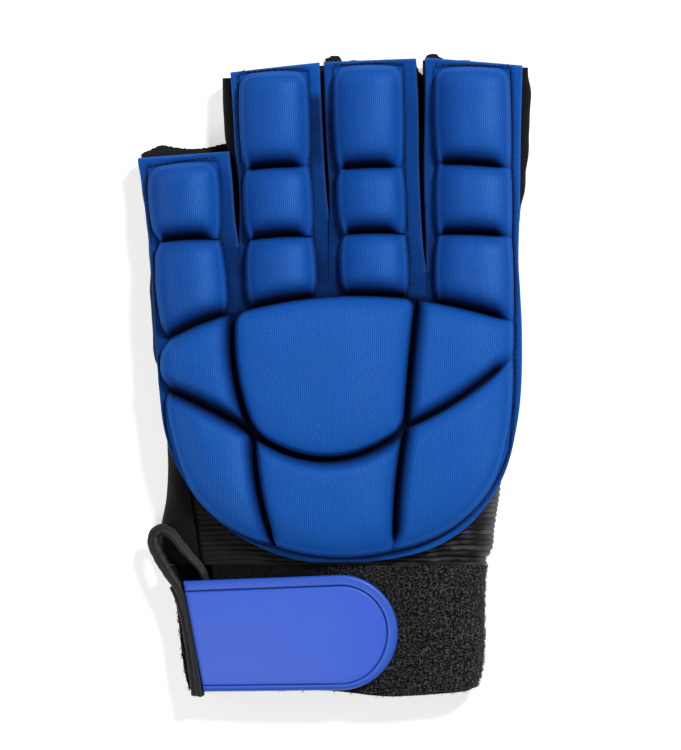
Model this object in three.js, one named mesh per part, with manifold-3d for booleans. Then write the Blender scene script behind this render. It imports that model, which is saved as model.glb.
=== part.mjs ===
// A left-hand field hockey glove with open finger ends, lying palm down.
//
// The back is one moulded foam panel with pillow pads, slit between the four
// fingers. A flat palm sheet lies under it, and fabric strips stand between
// the two: one along each side of the hand and one round each finger gap. A
// ribbed panel joins the back to the wrist band, whose slit on the little
// finger side is edged with a round binding and closed by a moulded strap.
//
// Millimetres. +Z points up from the floor, +Y towards the fingertips and +X
// towards the thumb. The origin is on the floor under the middle of the palm.

import * as THREE from "three";
import { mergeVertices } from "three/addons/utils/BufferGeometryUtils.js";
import Module from "manifold-3d";

const wasm = await Module();
wasm.setup();

// Driving dimensions
const PALM_THICK = 1.4;
const FABRIC_THICK = 1.2;
const FLANGE_THICK = 2.0;
const CUFF_THICK = 2.0;
const STRAP_THICK = 1.6;
const SEAT_GAP = 0.3;
const BAND_GAP = 0.5;
const UNDER_FOAM_GAP = 0.5;
const WALL_INSET = 1.6;
const BINDING_RADIUS = 1.35;
const CUFF_TOP_Y = -46.3;
const PALM_END_Y = -46.0;
const RIB_TOP_Y = -19.0;
const RIB_PITCH = 1.75;
const RIB_DEPTH = 0.35;
const THUMB_HOLE = { back: -19.0, front: 12.0, depth: 8.0 };

// Height of the hand's back above the floor along the middle line, and how
// far it has dropped one reach to each side of the arch's crown.
const ARCH_CROWN_X = 8;
const ARCH_REACH = 58;
const ARCH = [
  { y: -86, height: 12.6, drop: 4.2 },
  { y: -80, height: 14.6, drop: 4.6 },
  { y: -66, height: 15.8, drop: 5.0 },
  { y: -46, height: 16.8, drop: 5.4 },
  { y: -20, height: 19.6, drop: 7.4 },
  { y: 4, height: 21.0, drop: 8.0 },
  { y: 28, height: 20.0, drop: 7.4 },
  { y: 50, height: 18.0, drop: 6.0 },
  { y: 75, height: 16.2, drop: 5.0 },
  { y: 98, height: 15.0, drop: 4.4 },
];

// Each finger arches across its own width from the knuckles on, and leans.
const FINGER_ARCH_START_Y = 28;
const FINGER_ARCH_FULL_Y = 54;
const FINGER_ARCH = 1.8;
const FINGERS = [
  { name: "little", tipLeft: 67.9, tipRight: 69.7, palmReach: 2.2, lean: 0.03 },
  { name: "ring", tipLeft: 91.9, tipRight: 94.7, palmReach: -0.4, lean: -0.06 },
  { name: "middle", tipLeft: 94.7, tipRight: 95.8, palmReach: 0.6, lean: -0.03 },
  { name: "index", tipLeft: 96.0, tipRight: 93.9, palmReach: 0.4, lean: 0.02 },
];

// The foam panel's outer edges.
const LEFT_EDGE = [
  { y: -45.4, x: -6.0 },
  { y: -44.2, x: -12.0 },
  { y: -41.7, x: -19.2 },
  { y: -38.6, x: -25.4 },
  { y: -34.2, x: -31.6 },
  { y: -29.1, x: -36.6 },
  { y: -23.2, x: -41.0 },
  { y: -17.2, x: -44.3 },
  { y: -8.1, x: -47.2 },
  { y: 2.8, x: -48.5 },
  { y: 18.3, x: -49.8 },
  { y: 30.0, x: -50.5 },
  { y: 40.3, x: -51.1 },
  { y: 50.7, x: -52.3 },
  { y: 58.8, x: -53.4 },
  { y: 70.0, x: -55.0 },
];
const RIGHT_EDGE = [
  { y: -45.4, x: 9.0 },
  { y: -44.4, x: 16.5 },
  { y: -42.4, x: 25.1 },
  { y: -38.4, x: 33.6 },
  { y: -30.4, x: 42.2 },
  { y: -20.7, x: 47.9 },
  { y: -6.4, x: 51.5 },
  { y: 2.2, x: 52.5 },
  { y: 19.3, x: 52.8 },
  { y: 30.8, x: 52.3 },
  { y: 38.5, x: 51.9 },
  { y: 54.0, x: 52.3 },
  { y: 74.9, x: 52.6 },
  { y: 97.0, x: 53.2 },
];

// The slits between the fingers: centre line and width, from the web up.
const SLITS = [
  [
    { y: 43, x: -26.2, gap: 0.0 },
    { y: 51, x: -26.7, gap: 1.2 },
    { y: 62, x: -27.3, gap: 1.9 },
    { y: 70, x: -28.2, gap: 1.7 },
    { y: 78, x: -28.6, gap: 1.6 },
    { y: 96, x: -29.8, gap: 1.6 },
  ],
  [
    { y: 51, x: -0.9, gap: 0.0 },
    { y: 58, x: -1.4, gap: 0.8 },
    { y: 75, x: -2.4, gap: 0.9 },
    { y: 96, x: -3.2, gap: 1.2 },
  ],
  [
    { y: 36, x: 26.0, gap: 0.0 },
    { y: 43, x: 25.6, gap: 0.8 },
    { y: 64, x: 24.8, gap: 1.3 },
    { y: 83, x: 24.8, gap: 1.9 },
    { y: 97, x: 24.5, gap: 2.7 },
  ],
];
const SHARED_ROWS_Y = [
  -45.4, -44.4, -42.6, -39.6, -35, -29, -22, -14, -5, 5, 16, 28, 36, 43, 51,
];
const FINGER_ROWS = 5;
const COLUMNS = 4;

// Finger pads by their top and bottom corners, left and right, and how far
// their sides bow out.
const FINGER_PADS = [
  { finger: 0, tl: [-51.8, 65.0], tr: [-32.4, 66.7], bl: [-49.6, 45.7], br: [-31.6, 46.6], bow: 1.0 },
  { finger: 0, tl: [-50.0, 45.0], tr: [-31.6, 45.9], bl: [-47.0, 17.6], br: [-29.4, 24.8], bow: 1.2 },
  { finger: 1, tl: [-26.2, 91.0], tr: [-7.2, 91.9], bl: [-25.6, 65.8], br: [-6.6, 66.6], bow: 0.8 },
  { finger: 1, tl: [-24.9, 65.1], tr: [-6.2, 65.9], bl: [-24.2, 46.2], br: [-5.6, 47.2], bow: 0.8 },
  { finger: 1, tl: [-24.3, 45.4], tr: [-5.4, 46.3], bl: [-23.8, 26.4], br: [-4.6, 29.6], bow: 0.6 },
  { finger: 2, tl: [0.2, 93.0], tr: [19.4, 93.4], bl: [1.0, 65.6], br: [19.6, 66.0], bow: 0.8 },
  { finger: 2, tl: [1.0, 64.9], tr: [20.0, 65.3], bl: [2.0, 47.5], br: [20.4, 47.5], bow: 0.7 },
  { finger: 2, tl: [2.4, 46.6], tr: [20.6, 46.6], bl: [2.6, 30.0], br: [21.2, 29.4], bow: 0.6 },
  { finger: 3, tl: [28.9, 92.9], tr: [49.3, 92.6], bl: [29.4, 67.1], br: [49.4, 65.8], bow: 0.7 },
  { finger: 3, tl: [29.4, 66.3], tr: [49.8, 65.0], bl: [29.6, 47.4], br: [49.8, 46.6], bow: 0.5 },
  { finger: 3, tl: [29.4, 46.5], tr: [50.0, 45.7], bl: [28.6, 28.5], br: [50.6, 23.0], bow: 0.4 },
];
const FINGER_PAD = { height: 7.6, sideRun: 8.5, topRun: 5.5, bottomRun: 8.0, topBow: 0.7 };

// Junctions of the grooves on the back of the hand.
const JUNCTIONS = {
  knuckleOuterLeft: [-46.8, 16.6],
  knuckleLeft: [-27.6, 24.3],
  knuckleRight: [23.2, 28.2],
  knuckleOuterRight: [50.6, 21.8],
  waistOuterLeft: [-45.8, 3.0],
  waistLeft: [-21.9, -9.2],
  waistRight: [19.9, -7.9],
  waistOuterRight: [50.4, 12.2],
  heelOuterLeft: [-44.4, -12.0],
  heelLeft: [-15.8, -41.0],
  heelRight: [17.0, -42.2],
  heelOuterRight: [49.0, -14.0],
};
// Sagitta of each groove or edge, to the left of the way from its first name
// to its second.
const BOWS = {
  "knuckleOuterLeft knuckleLeft": 0.9,
  "knuckleLeft knuckleRight": 2.7,
  "knuckleRight knuckleOuterRight": 0.6,
  "waistOuterLeft waistLeft": 0.6,
  "waistLeft waistRight": -7.6,
  "waistRight waistOuterRight": -1.8,
  "knuckleLeft waistLeft": -2.2,
  "knuckleRight waistRight": -0.3,
  "waistLeft heelLeft": -1.5,
  "waistRight heelRight": -0.9,
  "knuckleOuterLeft waistOuterLeft": -1.2,
  "waistOuterLeft heelOuterLeft": -0.4,
  "heelOuterLeft heelLeft": -6.0,
  "heelLeft heelRight": -2.4,
  "heelRight heelOuterRight": -6.4,
  "heelOuterRight waistOuterRight": -0.5,
  "waistOuterRight knuckleOuterRight": -0.1,
};
// Each hand pad by its corners, its height, and over how long a run each edge
// rises, in the order of the corners.
const HAND_PADS = [
  {
    corners: ["knuckleLeft", "waistLeft", "waistRight", "knuckleRight"],
    height: 10.0,
    runs: [9, 12, 9, 9],
  },
  {
    corners: ["knuckleOuterLeft", "waistOuterLeft", "waistLeft", "knuckleLeft"],
    height: 8.2,
    runs: [7, 9, 11, 7],
  },
  {
    corners: ["knuckleRight", "waistRight", "waistOuterRight", "knuckleOuterRight"],
    height: 8.4,
    runs: [12, 9, 7, 8],
  },
  {
    corners: ["waistOuterLeft", "heelOuterLeft", "heelLeft", "waistLeft"],
    height: 8.2,
    runs: [8, 10, 10, 10],
  },
  {
    corners: ["waistLeft", "heelLeft", "heelRight", "waistRight"],
    height: 8.8,
    runs: [8, 9, 8, 14],
  },
  {
    corners: ["waistRight", "heelRight", "heelOuterRight", "waistOuterRight"],
    height: 8.2,
    runs: [12, 10, 9, 11],
  },
];
const GROOVE_HALF_WIDTH = 0.45;
const CORNER_POWER = 3.6;
const CROWN_POWER = 2.5;
const PAD_RINGS = [1, 0.945, 0.81, 0.5];
const FINGER_PAD_STEPS = [0, 0.12, 0.3, 0.5, 0.7, 0.88];
const HAND_PAD_STEPS = [0, 0.08, 0.2, 0.35, 0.5, 0.65, 0.8, 0.92];
const PAD_ROOT = 0.9;
const PAD_SINK = 0.4;
const PAD_REACH = 60;
const REACH_TOLERANCE = 0.01;

// How far each standing side strip bellies out past the foam's edge.
const LITTLE_SIDE_BELLY = [
  { y: -46, x: 0.6 },
  { y: -10, x: 1.0 },
  { y: 20, x: 1.6 },
  { y: 70, x: 1.4 },
];
const INDEX_SIDE_BELLY = [
  { y: 10, x: 0.8 },
  { y: 50, x: 1.2 },
  { y: 62, x: 3.0 },
  { y: 78, x: 4.2 },
  { y: 94, x: 2.6 },
];
const RING_SIDE_BELLY = [
  { y: 42, x: 0.2 },
  { y: 70, x: 0.4 },
  { y: 76, x: 4.0 },
  { y: 84, x: 4.2 },
  { y: 93, x: 2.0 },
];

// The side strip by the little finger runs on to the wrist past the foam: its
// foot on the palm's edge, and its top at a seam on the back.
const LITTLE_SIDE = [
  { y: -46.0, foot: -46.2, seam: -37.2 },
  { y: -41.0, foot: -48.2, seam: -37.9 },
  { y: -36.0, foot: -47.8, seam: -38.5 },
  { y: -28.0, foot: -46.2, seam: -39.8 },
  { y: -20.0, foot: -45.6, seam: -41.0 },
  { y: -12.0, foot: -45.6, seam: -42.4 },
  { y: -3.0, foot: -46.4, seam: -45.2 },
  { y: 10.0, foot: -47.2, seam: -46.8 },
];
const SEAM_GAP = 0.8;
const SLIT_WEDGE = {
  apex: [-51.5, -31.8],
  palm: [-58, -50],
  back: [-32.1, -50],
  floor: 7.0,
  height: 30,
};

// The ribbed panel's outer side, and the wrist band's two sides.
const RIB_SIDE = [
  { y: -46.2, x: 43.4 },
  { y: -44.4, x: 43.0 },
  { y: -42.6, x: 44.4 },
  { y: -36.0, x: 45.4 },
  { y: -25.0, x: 47.0 },
  { y: -18.0, x: 47.6 },
];
const CUFF_SIDES = [
  { y: -84, left: -40.2, slit: -29.6, right: 38.6 },
  { y: -80, left: -41.4, slit: -30.1, right: 41.2 },
  { y: -74, left: -42.4, slit: -30.8, right: 42.6 },
  { y: -60, left: -43.9, slit: -32.4, right: 42.7 },
  { y: -54, left: -44.8, slit: -33.1, right: 42.8 },
  { y: -46, left: -46.6, slit: -34.0, right: 43.4 },
];
const CUFF_BEND = 8.0;
const CUFF_HEM = { y: -83.0, rise: 2.4, riseStart: 8, riseReach: 35, pinch: 0.5, pinchPower: 6 };
const CUFF_LEFT_TOP_Z = 9.3;
const CUFF_ROWS_Y = [0, 0.12, 0.45, 0.8, 0.94, 1];

// The closing strap: its straight edges, its round end, and its raised rim.
const STRAP = {
  leftTop: [-40.1, -51.2],
  leftBottom: [-35.4, -80.9],
  arcX: 2.0,
  arcY: -65.2,
  arcRadius: 16.2,
};
const STRAP_PROFILE = [
  { inset: 0.0, rise: 0.9 },
  { inset: 0.5, rise: 1.6 },
  { inset: 2.5, rise: 1.6 },
  { inset: 2.8, rise: 0.9 },
  { inset: 3.2, rise: 0.9 },
  { inset: 3.5, rise: 1.4 },
];
const STRAP_STRAIGHT_STEPS = 6;
const STRAP_ARC_STEPS = 10;

// The binding goes up the palm's edge of the slit, round its top and down
// the back's edge under the strap.
const SLIT_BINDING = [
  { x: -36.9, y: -82.2, z: 12.2 },
  { x: -38.2, y: -73.6, z: 12.9 },
  { x: -40.3, y: -60.0, z: 13.2 },
  { x: -42.6, y: -53.2, z: 12.4 },
  { x: -45.6, y: -47.6, z: 11.3 },
  { x: -48.9, y: -42.6, z: 9.2 },
  { x: -50.0, y: -39.2, z: 8.8 },
  { x: -49.4, y: -37.0, z: 9.6 },
  { x: -47.6, y: -37.8, z: 10.8 },
  { x: -45.9, y: -39.4, z: 11.5 },
  { x: -43.0, y: -42.2, z: 12.6 },
  { x: -40.2, y: -45.0, z: 13.2 },
  { x: -37.6, y: -47.8, z: 13.2 },
  { x: -35.8, y: -51.2, z: 12.2 },
  { x: -34.7, y: -58.0, z: 12.0 },
  { x: -33.5, y: -68.0, z: 11.7 },
  { x: -32.1, y: -81.0, z: 10.6 },
];
const STRAP_BINDING = [
  { x: -39.3, y: -82.4, z: 11.2 },
  { x: -40.8, y: -73.6, z: 11.1 },
  { x: -42.8, y: -61.0, z: 11.1 },
  { x: -44.2, y: -55.4, z: 11.0 },
];
// The thumb hole's binding, once round from the front upright.
const THUMB_BINDING_RADIUS = 1.1;
const THUMB_BINDING = [
  { x: 51.2, y: 10.6, z: 4.2 },
  { x: 51.5, y: 10.6, z: 8.5 },
  { x: 51.0, y: 10.4, z: 12.8 },
  { x: 50.5, y: 7.6, z: 14.9 },
  { x: 50.2, y: 0.0, z: 15.1 },
  { x: 49.2, y: -9.0, z: 15.0 },
  { x: 47.9, y: -15.6, z: 14.5 },
  { x: 47.0, y: -17.5, z: 12.0 },
  { x: 46.8, y: -17.6, z: 7.5 },
  { x: 46.5, y: -17.3, z: 4.2 },
  { x: 45.3, y: -13.6, z: 2.85 },
  { x: 43.6, y: -3.5, z: 2.8 },
  { x: 47.3, y: 6.6, z: 2.85 },
];
const TUBE_SIDES = 7;

const BLUE = 0x1f57b8;
const STRAP_BLUE = 0x4468d6;

// Smooth reading of one column of a table whose rows rise in y.
function read(rows, column, y) {
  const last = rows.length - 1;
  if (y <= rows[0].y) return rows[0][column];
  if (y >= rows[last].y) return rows[last][column];
  const i = rows.findIndex((row) => row.y > y) - 1;
  const slope = (a, b) => (rows[b][column] - rows[a][column]) / (rows[b].y - rows[a].y);
  const here = slope(i, i + 1);
  const before = i > 0 ? (slope(i - 1, i) + here) / 2 : here;
  const after = i + 1 < last ? (slope(i + 1, i + 2) + here) / 2 : here;
  const step = rows[i + 1].y - rows[i].y;
  const t = (y - rows[i].y) / step;
  const rise = rows[i + 1][column] - rows[i][column];
  return (
    rows[i][column] +
    t * t * (3 - 2 * t) * rise +
    t * (1 - t) * (1 - t) * step * before -
    t * t * (1 - t) * step * after
  );
}

// Edges of each finger's strip of the foam panel, at a height y.
function slitEdges(slit, y) {
  const x = read(SLITS[slit], "x", y);
  const half = read(SLITS[slit], "gap", y) / 2;
  return [x - half, x + half];
}
const KNUCKLE_SHARES = SLITS.map((slit) => {
  const left = read(LEFT_EDGE, "x", FINGER_ARCH_START_Y);
  const right = read(RIGHT_EDGE, "x", FINGER_ARCH_START_Y);
  return (slit[0].x - left) / (right - left);
});
function stripEdges(finger, y) {
  const left = read(LEFT_EDGE, "x", y);
  const right = read(RIGHT_EDGE, "x", y);
  const shared = (slit) => left + KNUCKLE_SHARES[slit] * (right - left);
  const inner = (slit, side) => {
    if (y >= SLITS[slit][0].y) return slitEdges(slit, y)[side];
    if (y <= FINGER_ARCH_START_Y) return shared(slit);
    const t = (y - FINGER_ARCH_START_Y) / (SLITS[slit][0].y - FINGER_ARCH_START_Y);
    return THREE.MathUtils.lerp(shared(slit), SLITS[slit][0].x, t);
  };
  return [finger === 0 ? left : inner(finger - 1, 1), finger === 3 ? right : inner(finger, 0)];
}

// The underside of the foam panel.
function backZ(x, y, finger = nearestFinger(x, y)) {
  const across = (x - ARCH_CROWN_X) / ARCH_REACH;
  const z = read(ARCH, "height", y) - read(ARCH, "drop", y) * across * across;
  const share = THREE.MathUtils.smoothstep(y, FINGER_ARCH_START_Y, FINGER_ARCH_FULL_Y);
  if (share === 0) return z;
  const [left, right] = stripEdges(finger, y);
  const off = (2 * x - left - right) / (right - left);
  return z - share * (FINGER_ARCH * off * off - FINGERS[finger].lean * (x - (left + right) / 2));
}
function nearestFinger(x, y) {
  return SLITS.filter((slit, i) => x > stripEdges(i, y)[1]).length;
}
// A point at some height off the back, along the back's own normal.
function offBack(x, y, height, finger) {
  const step = 0.5;
  const dx = (backZ(x + step, y, finger) - backZ(x - step, y, finger)) / (2 * step);
  const dy = (backZ(x, y + step, finger) - backZ(x, y - step, finger)) / (2 * step);
  const normal = new THREE.Vector3(-dx, -dy, 1).normalize();
  return new THREE.Vector3(x, y, backZ(x, y, finger)).addScaledVector(normal, height);
}

// A closed sheet from grids of points that have an outer and an inner place.
// Grids that share points are joined there, and open edges get a wall.
function closedSheet(grids) {
  const corners = [];
  const known = new Map();
  const indexOf = (corner) => {
    const key = corner.outer.toArray().map((v) => v.toFixed(3)).join();
    if (!known.has(key)) known.set(key, corners.push(corner) - 1);
    return known.get(key);
  };
  const faces = [];
  const addFace = (a, b, c) => {
    if (a !== b && b !== c && c !== a) faces.push([a, b, c]);
  };
  for (const grid of grids) {
    for (let i = 1; i < grid.length; i++) {
      for (let j = 1; j < grid[i].length; j++) {
        const square = [grid[i - 1][j - 1], grid[i - 1][j], grid[i][j], grid[i][j - 1]];
        const [a, b, c, d] = square.map(indexOf);
        addFace(a, b, c);
        addFace(a, c, d);
      }
    }
  }
  const directed = new Set(faces.flatMap(([a, b, c]) => [`${a},${b}`, `${b},${c}`, `${c},${a}`]));
  const positions = [];
  const emit = (...points) => points.forEach((p) => positions.push(p.x, p.y, p.z));
  for (const [a, b, c] of faces) {
    emit(corners[a].outer, corners[b].outer, corners[c].outer);
    emit(corners[c].inner, corners[b].inner, corners[a].inner);
  }
  for (const edge of directed) {
    const [a, b] = edge.split(",").map(Number);
    if (directed.has(`${b},${a}`)) continue;
    emit(corners[b].outer, corners[a].outer, corners[a].inner);
    emit(corners[b].outer, corners[a].inner, corners[b].inner);
  }
  return facingOut(positions);
}
function facingOut(positions) {
  const [a, b, c] = [new THREE.Vector3(), new THREE.Vector3(), new THREE.Vector3()];
  let volume = 0;
  for (let i = 0; i < positions.length; i += 9) {
    a.fromArray(positions, i);
    b.fromArray(positions, i + 3);
    c.fromArray(positions, i + 6);
    volume += a.dot(b.cross(c));
  }
  if (volume < 0) {
    for (let i = 0; i < positions.length; i += 9) {
      for (const k of [i + 3, i + 4, i + 5]) {
        [positions[k], positions[k + 3]] = [positions[k + 3], positions[k]];
      }
    }
  }
  return new THREE.BufferGeometry().setAttribute(
    "position",
    new THREE.Float32BufferAttribute(positions, 3),
  );
}

// Gives a grid of middle points its thickness, along the grid's own normals.
function thicken(middle, thickness) {
  const at = (i, j) => {
    const row = middle[Math.min(Math.max(i, 0), middle.length - 1)];
    return row[Math.min(Math.max(j, 0), row.length - 1)];
  };
  return middle.map((row, i) =>
    row.map((point, j) => {
      const along = at(i + 1, j).clone().sub(at(i - 1, j));
      const across = at(i, j + 1).clone().sub(at(i, j - 1));
      const normal = along.cross(across).setLength(thickness / 2);
      return { outer: point.clone().add(normal), inner: point.clone().sub(normal) };
    }),
  );
}

// Joining and cutting closed geometries.
function solidOf(geometry) {
  const bare = geometry.index ? geometry.toNonIndexed() : geometry.clone();
  bare.deleteAttribute("normal");
  bare.deleteAttribute("uv");
  const merged = mergeVertices(bare, 1e-3);
  return new wasm.Manifold(
    new wasm.Mesh({
      numProp: 3,
      vertProperties: new Float32Array(merged.attributes.position.array),
      triVerts: new Uint32Array(merged.index.array),
    }),
  );
}
function geometryOf(solid) {
  const mesh = solid.getMesh();
  const points = new Float32Array(mesh.numVert * 3);
  for (let i = 0; i < mesh.numVert; i++) {
    points.set(mesh.vertProperties.subarray(i * mesh.numProp, i * mesh.numProp + 3), i * 3);
  }
  return new THREE.BufferGeometry()
    .setAttribute("position", new THREE.BufferAttribute(points, 3))
    .setIndex(new THREE.BufferAttribute(mesh.triVerts, 1));
}

// Foam panel: the thin sheet with its slits
function foamSheet() {
  const pair = (x, y, finger) => ({
    outer: offBack(x, y, FLANGE_THICK, finger),
    inner: new THREE.Vector3(x, y, backZ(x, y, finger)),
  });
  const grids = FINGERS.map((finger, f) => {
    const rows = SHARED_ROWS_Y.map((y) => [y, y]);
    const start = SHARED_ROWS_Y[SHARED_ROWS_Y.length - 1];
    for (let i = 1; i <= FINGER_ROWS; i++) {
      const t = i / FINGER_ROWS;
      rows.push([
        THREE.MathUtils.lerp(start, finger.tipLeft, t),
        THREE.MathUtils.lerp(start, finger.tipRight, t),
      ]);
    }
    return rows.map(([yLeft, yRight]) => {
      const left = stripEdges(f, yLeft)[0];
      const right = stripEdges(f, yRight)[1];
      const row = [];
      for (let j = 0; j <= COLUMNS; j++) {
        const t = j / COLUMNS;
        const x = THREE.MathUtils.lerp(left, right, t);
        const y = THREE.MathUtils.lerp(yLeft, yRight, t);
        row.push(pair(x, y, f));
      }
      return row;
    });
  });
  // Where two strips meet below a slit, they share one point.
  grids.slice(1).forEach((grid, i) => {
    SHARED_ROWS_Y.forEach((y, row) => {
      if (y <= SLITS[i][0].y) grid[row][0] = grids[i][row][COLUMNS];
    });
  });
  return closedSheet(grids);
}

// Distance inside an edge from a to b that bows to its left by bow, with the
// pad on the edge's left.
function insideEdge(x, y, [ax, ay], [bx, by], bow) {
  const length = Math.hypot(bx - ax, by - ay);
  const ux = (bx - ax) / length;
  const uy = (by - ay) / length;
  const across = ux * (y - ay) - uy * (x - ax);
  if (Math.abs(bow) < 0.05) return across;
  const radius = (length * length) / (8 * Math.abs(bow)) + Math.abs(bow) / 2;
  const toCentre = (radius - Math.abs(bow)) * Math.sign(bow);
  const cx = (ax + bx) / 2 + uy * toCentre;
  const cy = (ay + by) / 2 - ux * toCentre;
  const off = Math.hypot(x - cx, y - cy) - radius;
  return Math.sign(bow) * off;
}
function bowBetween(from, to) {
  const there = BOWS[`${from} ${to}`];
  return there === undefined ? -BOWS[`${to} ${from}`] : there;
}
// Every pad as edges that run round it anticlockwise.
function padShapes() {
  const fingerPads = FINGER_PADS.map((pad) => ({
    finger: pad.finger,
    steps: FINGER_PAD_STEPS,
    height: FINGER_PAD.height,
    edges: [
      { a: pad.tl, b: pad.bl, bow: -pad.bow, run: FINGER_PAD.sideRun },
      { a: pad.bl, b: pad.br, bow: 0, run: FINGER_PAD.bottomRun },
      { a: pad.br, b: pad.tr, bow: -pad.bow, run: FINGER_PAD.sideRun },
      { a: pad.tr, b: pad.tl, bow: -FINGER_PAD.topBow, run: FINGER_PAD.topRun },
    ],
  }));
  const handPads = HAND_PADS.map(({ corners, height, runs }) => ({
    finger: undefined,
    steps: HAND_PAD_STEPS,
    height,
    edges: corners.map((from, i) => {
      const to = corners[(i + 1) % corners.length];
      return { a: JUNCTIONS[from], b: JUNCTIONS[to], bow: bowBetween(from, to), run: runs[i] };
    }),
  }));
  return [...fingerPads, ...handPads];
}
// 0 at a pad's foot and 1 where it is at full height; negative outside it.
function padShare(edges, x, y) {
  const sum = edges.reduce((total, { a, b, bow, run }) => {
    const inside = (insideEdge(x, y, a, b, bow) - GROOVE_HALF_WIDTH) / run;
    return total + Math.pow(Math.max(1 - inside, 0), CORNER_POWER);
  }, 0);
  return 1 - Math.pow(sum, 1 / CORNER_POWER);
}
function padRise(share) {
  const rest = Math.min(Math.max(1 - share, 0), 1);
  return Math.pow(1 - Math.pow(rest, CROWN_POWER), 1 / CROWN_POWER);
}
function padGeometry({ edges, steps, height, finger }) {
  const cx = edges.reduce((sum, edge) => sum + edge.a[0], 0) / edges.length;
  const cy = edges.reduce((sum, edge) => sum + edge.a[1], 0) / edges.length;
  const place = (x, y, up) => offBack(x, y, up, finger);
  const rings = PAD_RINGS.map(() => []);
  const foot = [];
  const targets = edges.flatMap(({ a, b }) =>
    steps.map((t) => [THREE.MathUtils.lerp(a[0], b[0], t), THREE.MathUtils.lerp(a[1], b[1], t)]),
  );
  for (const [tx, ty] of targets) {
    const reach = Math.hypot(tx - cx, ty - cy);
    const [dx, dy] = [(tx - cx) / reach, (ty - cy) / reach];
    let [near, far] = [0, PAD_REACH];
    while (far - near > REACH_TOLERANCE) {
      const middle = (near + far) / 2;
      if (padShare(edges, cx + dx * middle, cy + dy * middle) > 0) near = middle;
      else far = middle;
    }
    foot.push(place(cx + dx * near, cy + dy * near, PAD_ROOT));
    PAD_RINGS.forEach((share, ring) => {
      const [x, y] = [cx + dx * near * share, cy + dy * near * share];
      const rise = ring === 0 ? 0 : height * padRise(padShare(edges, x, y));
      rings[ring].push(place(x, y, FLANGE_THICK + rise - (ring === 0 ? PAD_SINK : 0)));
    });
  }
  const top = place(cx, cy, FLANGE_THICK + height * padRise(padShare(edges, cx, cy)));
  const bottom = place(cx, cy, PAD_ROOT);
  const positions = [];
  const emit = (...points) => points.forEach((p) => positions.push(p.x, p.y, p.z));
  const levels = [foot, ...rings];
  for (let i = 0; i < targets.length; i++) {
    const j = (i + 1) % targets.length;
    for (let k = 1; k < levels.length; k++) {
      emit(levels[k - 1][i], levels[k - 1][j], levels[k][j]);
      emit(levels[k - 1][i], levels[k][j], levels[k][i]);
    }
    emit(levels[levels.length - 1][i], levels[levels.length - 1][j], top);
    emit(foot[j], foot[i], bottom);
  }
  return facingOut(positions);
}
function foamPanel() {
  const sheet = solidOf(foamSheet());
  return geometryOf(padShapes().reduce((all, pad) => all.add(solidOf(padGeometry(pad))), sheet));
}

// Palm: a flat sheet with the hand's outline, its finger slits and a bay for
// the thumb
const PALM = {
  slitInset: 0.5,
  littleInset: 0.6,
  indexInset: 1.2,
  ribInset: 0.2,
  footOverlap: 0.6,
  webRise: 1.5,
  wristLeft: -38,
  wristRight: 42,
};
const PALM_LITTLE_ROWS = [-45, -38, -30, -20, -8, 4, 20, 40, 55];
const PALM_INDEX_ROWS = [75, 55, 40, 26, THUMB_HOLE.front];
const PALM_RIB_ROWS = [-30, -40];
function isPastFoam(y) {
  return y < LITTLE_SIDE[LITTLE_SIDE.length - 1].y;
}
function palmSheet() {
  const outline = new THREE.Shape();
  outline.moveTo(PALM.wristLeft, PALM_END_Y);
  PALM_LITTLE_ROWS.forEach((y) => {
    const foot = read(LITTLE_SIDE, "foot", y) - PALM.footOverlap;
    const edge = read(LEFT_EDGE, "x", y) + PALM.littleInset;
    outline.lineTo(isPastFoam(y) ? foot : edge, y);
  });
  FINGERS.forEach((finger, f) => {
    const leftTop = finger.tipLeft + finger.palmReach;
    const rightTop = finger.tipRight + finger.palmReach;
    const left = (y) => outline.lineTo(stripEdges(f, y)[0] + PALM.slitInset, y);
    const right = (y) => outline.lineTo(stripEdges(f, y)[1] - PALM.slitInset, y);
    if (f > 0) {
      const web = SLITS[f - 1][0].y;
      [web + PALM.webRise, (web + leftTop) / 2].forEach(left);
    }
    left(leftTop);
    right(rightTop);
    if (f < SLITS.length) {
      const web = SLITS[f][0].y;
      [(web + rightTop) / 2, web + PALM.webRise].forEach(right);
      outline.lineTo(SLITS[f][0].x, web);
    }
  });
  const indexEdge = (y) => read(RIGHT_EDGE, "x", y) - PALM.indexInset;
  const ribEdge = (y) => read(RIB_SIDE, "x", y) - PALM.ribInset;
  PALM_INDEX_ROWS.forEach((y) => outline.lineTo(indexEdge(y), y));
  outline.quadraticCurveTo(
    indexEdge(THUMB_HOLE.front) - 2 * THUMB_HOLE.depth,
    (THUMB_HOLE.front + THUMB_HOLE.back) / 2,
    ribEdge(THUMB_HOLE.back),
    THUMB_HOLE.back,
  );
  PALM_RIB_ROWS.forEach((y) => outline.lineTo(ribEdge(y), y));
  outline.lineTo(PALM.wristRight, PALM_END_Y);
  outline.closePath();
  return new THREE.ExtrudeGeometry(outline, {
    depth: PALM_THICK,
    bevelEnabled: false,
    curveSegments: 10,
  });
}

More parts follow.
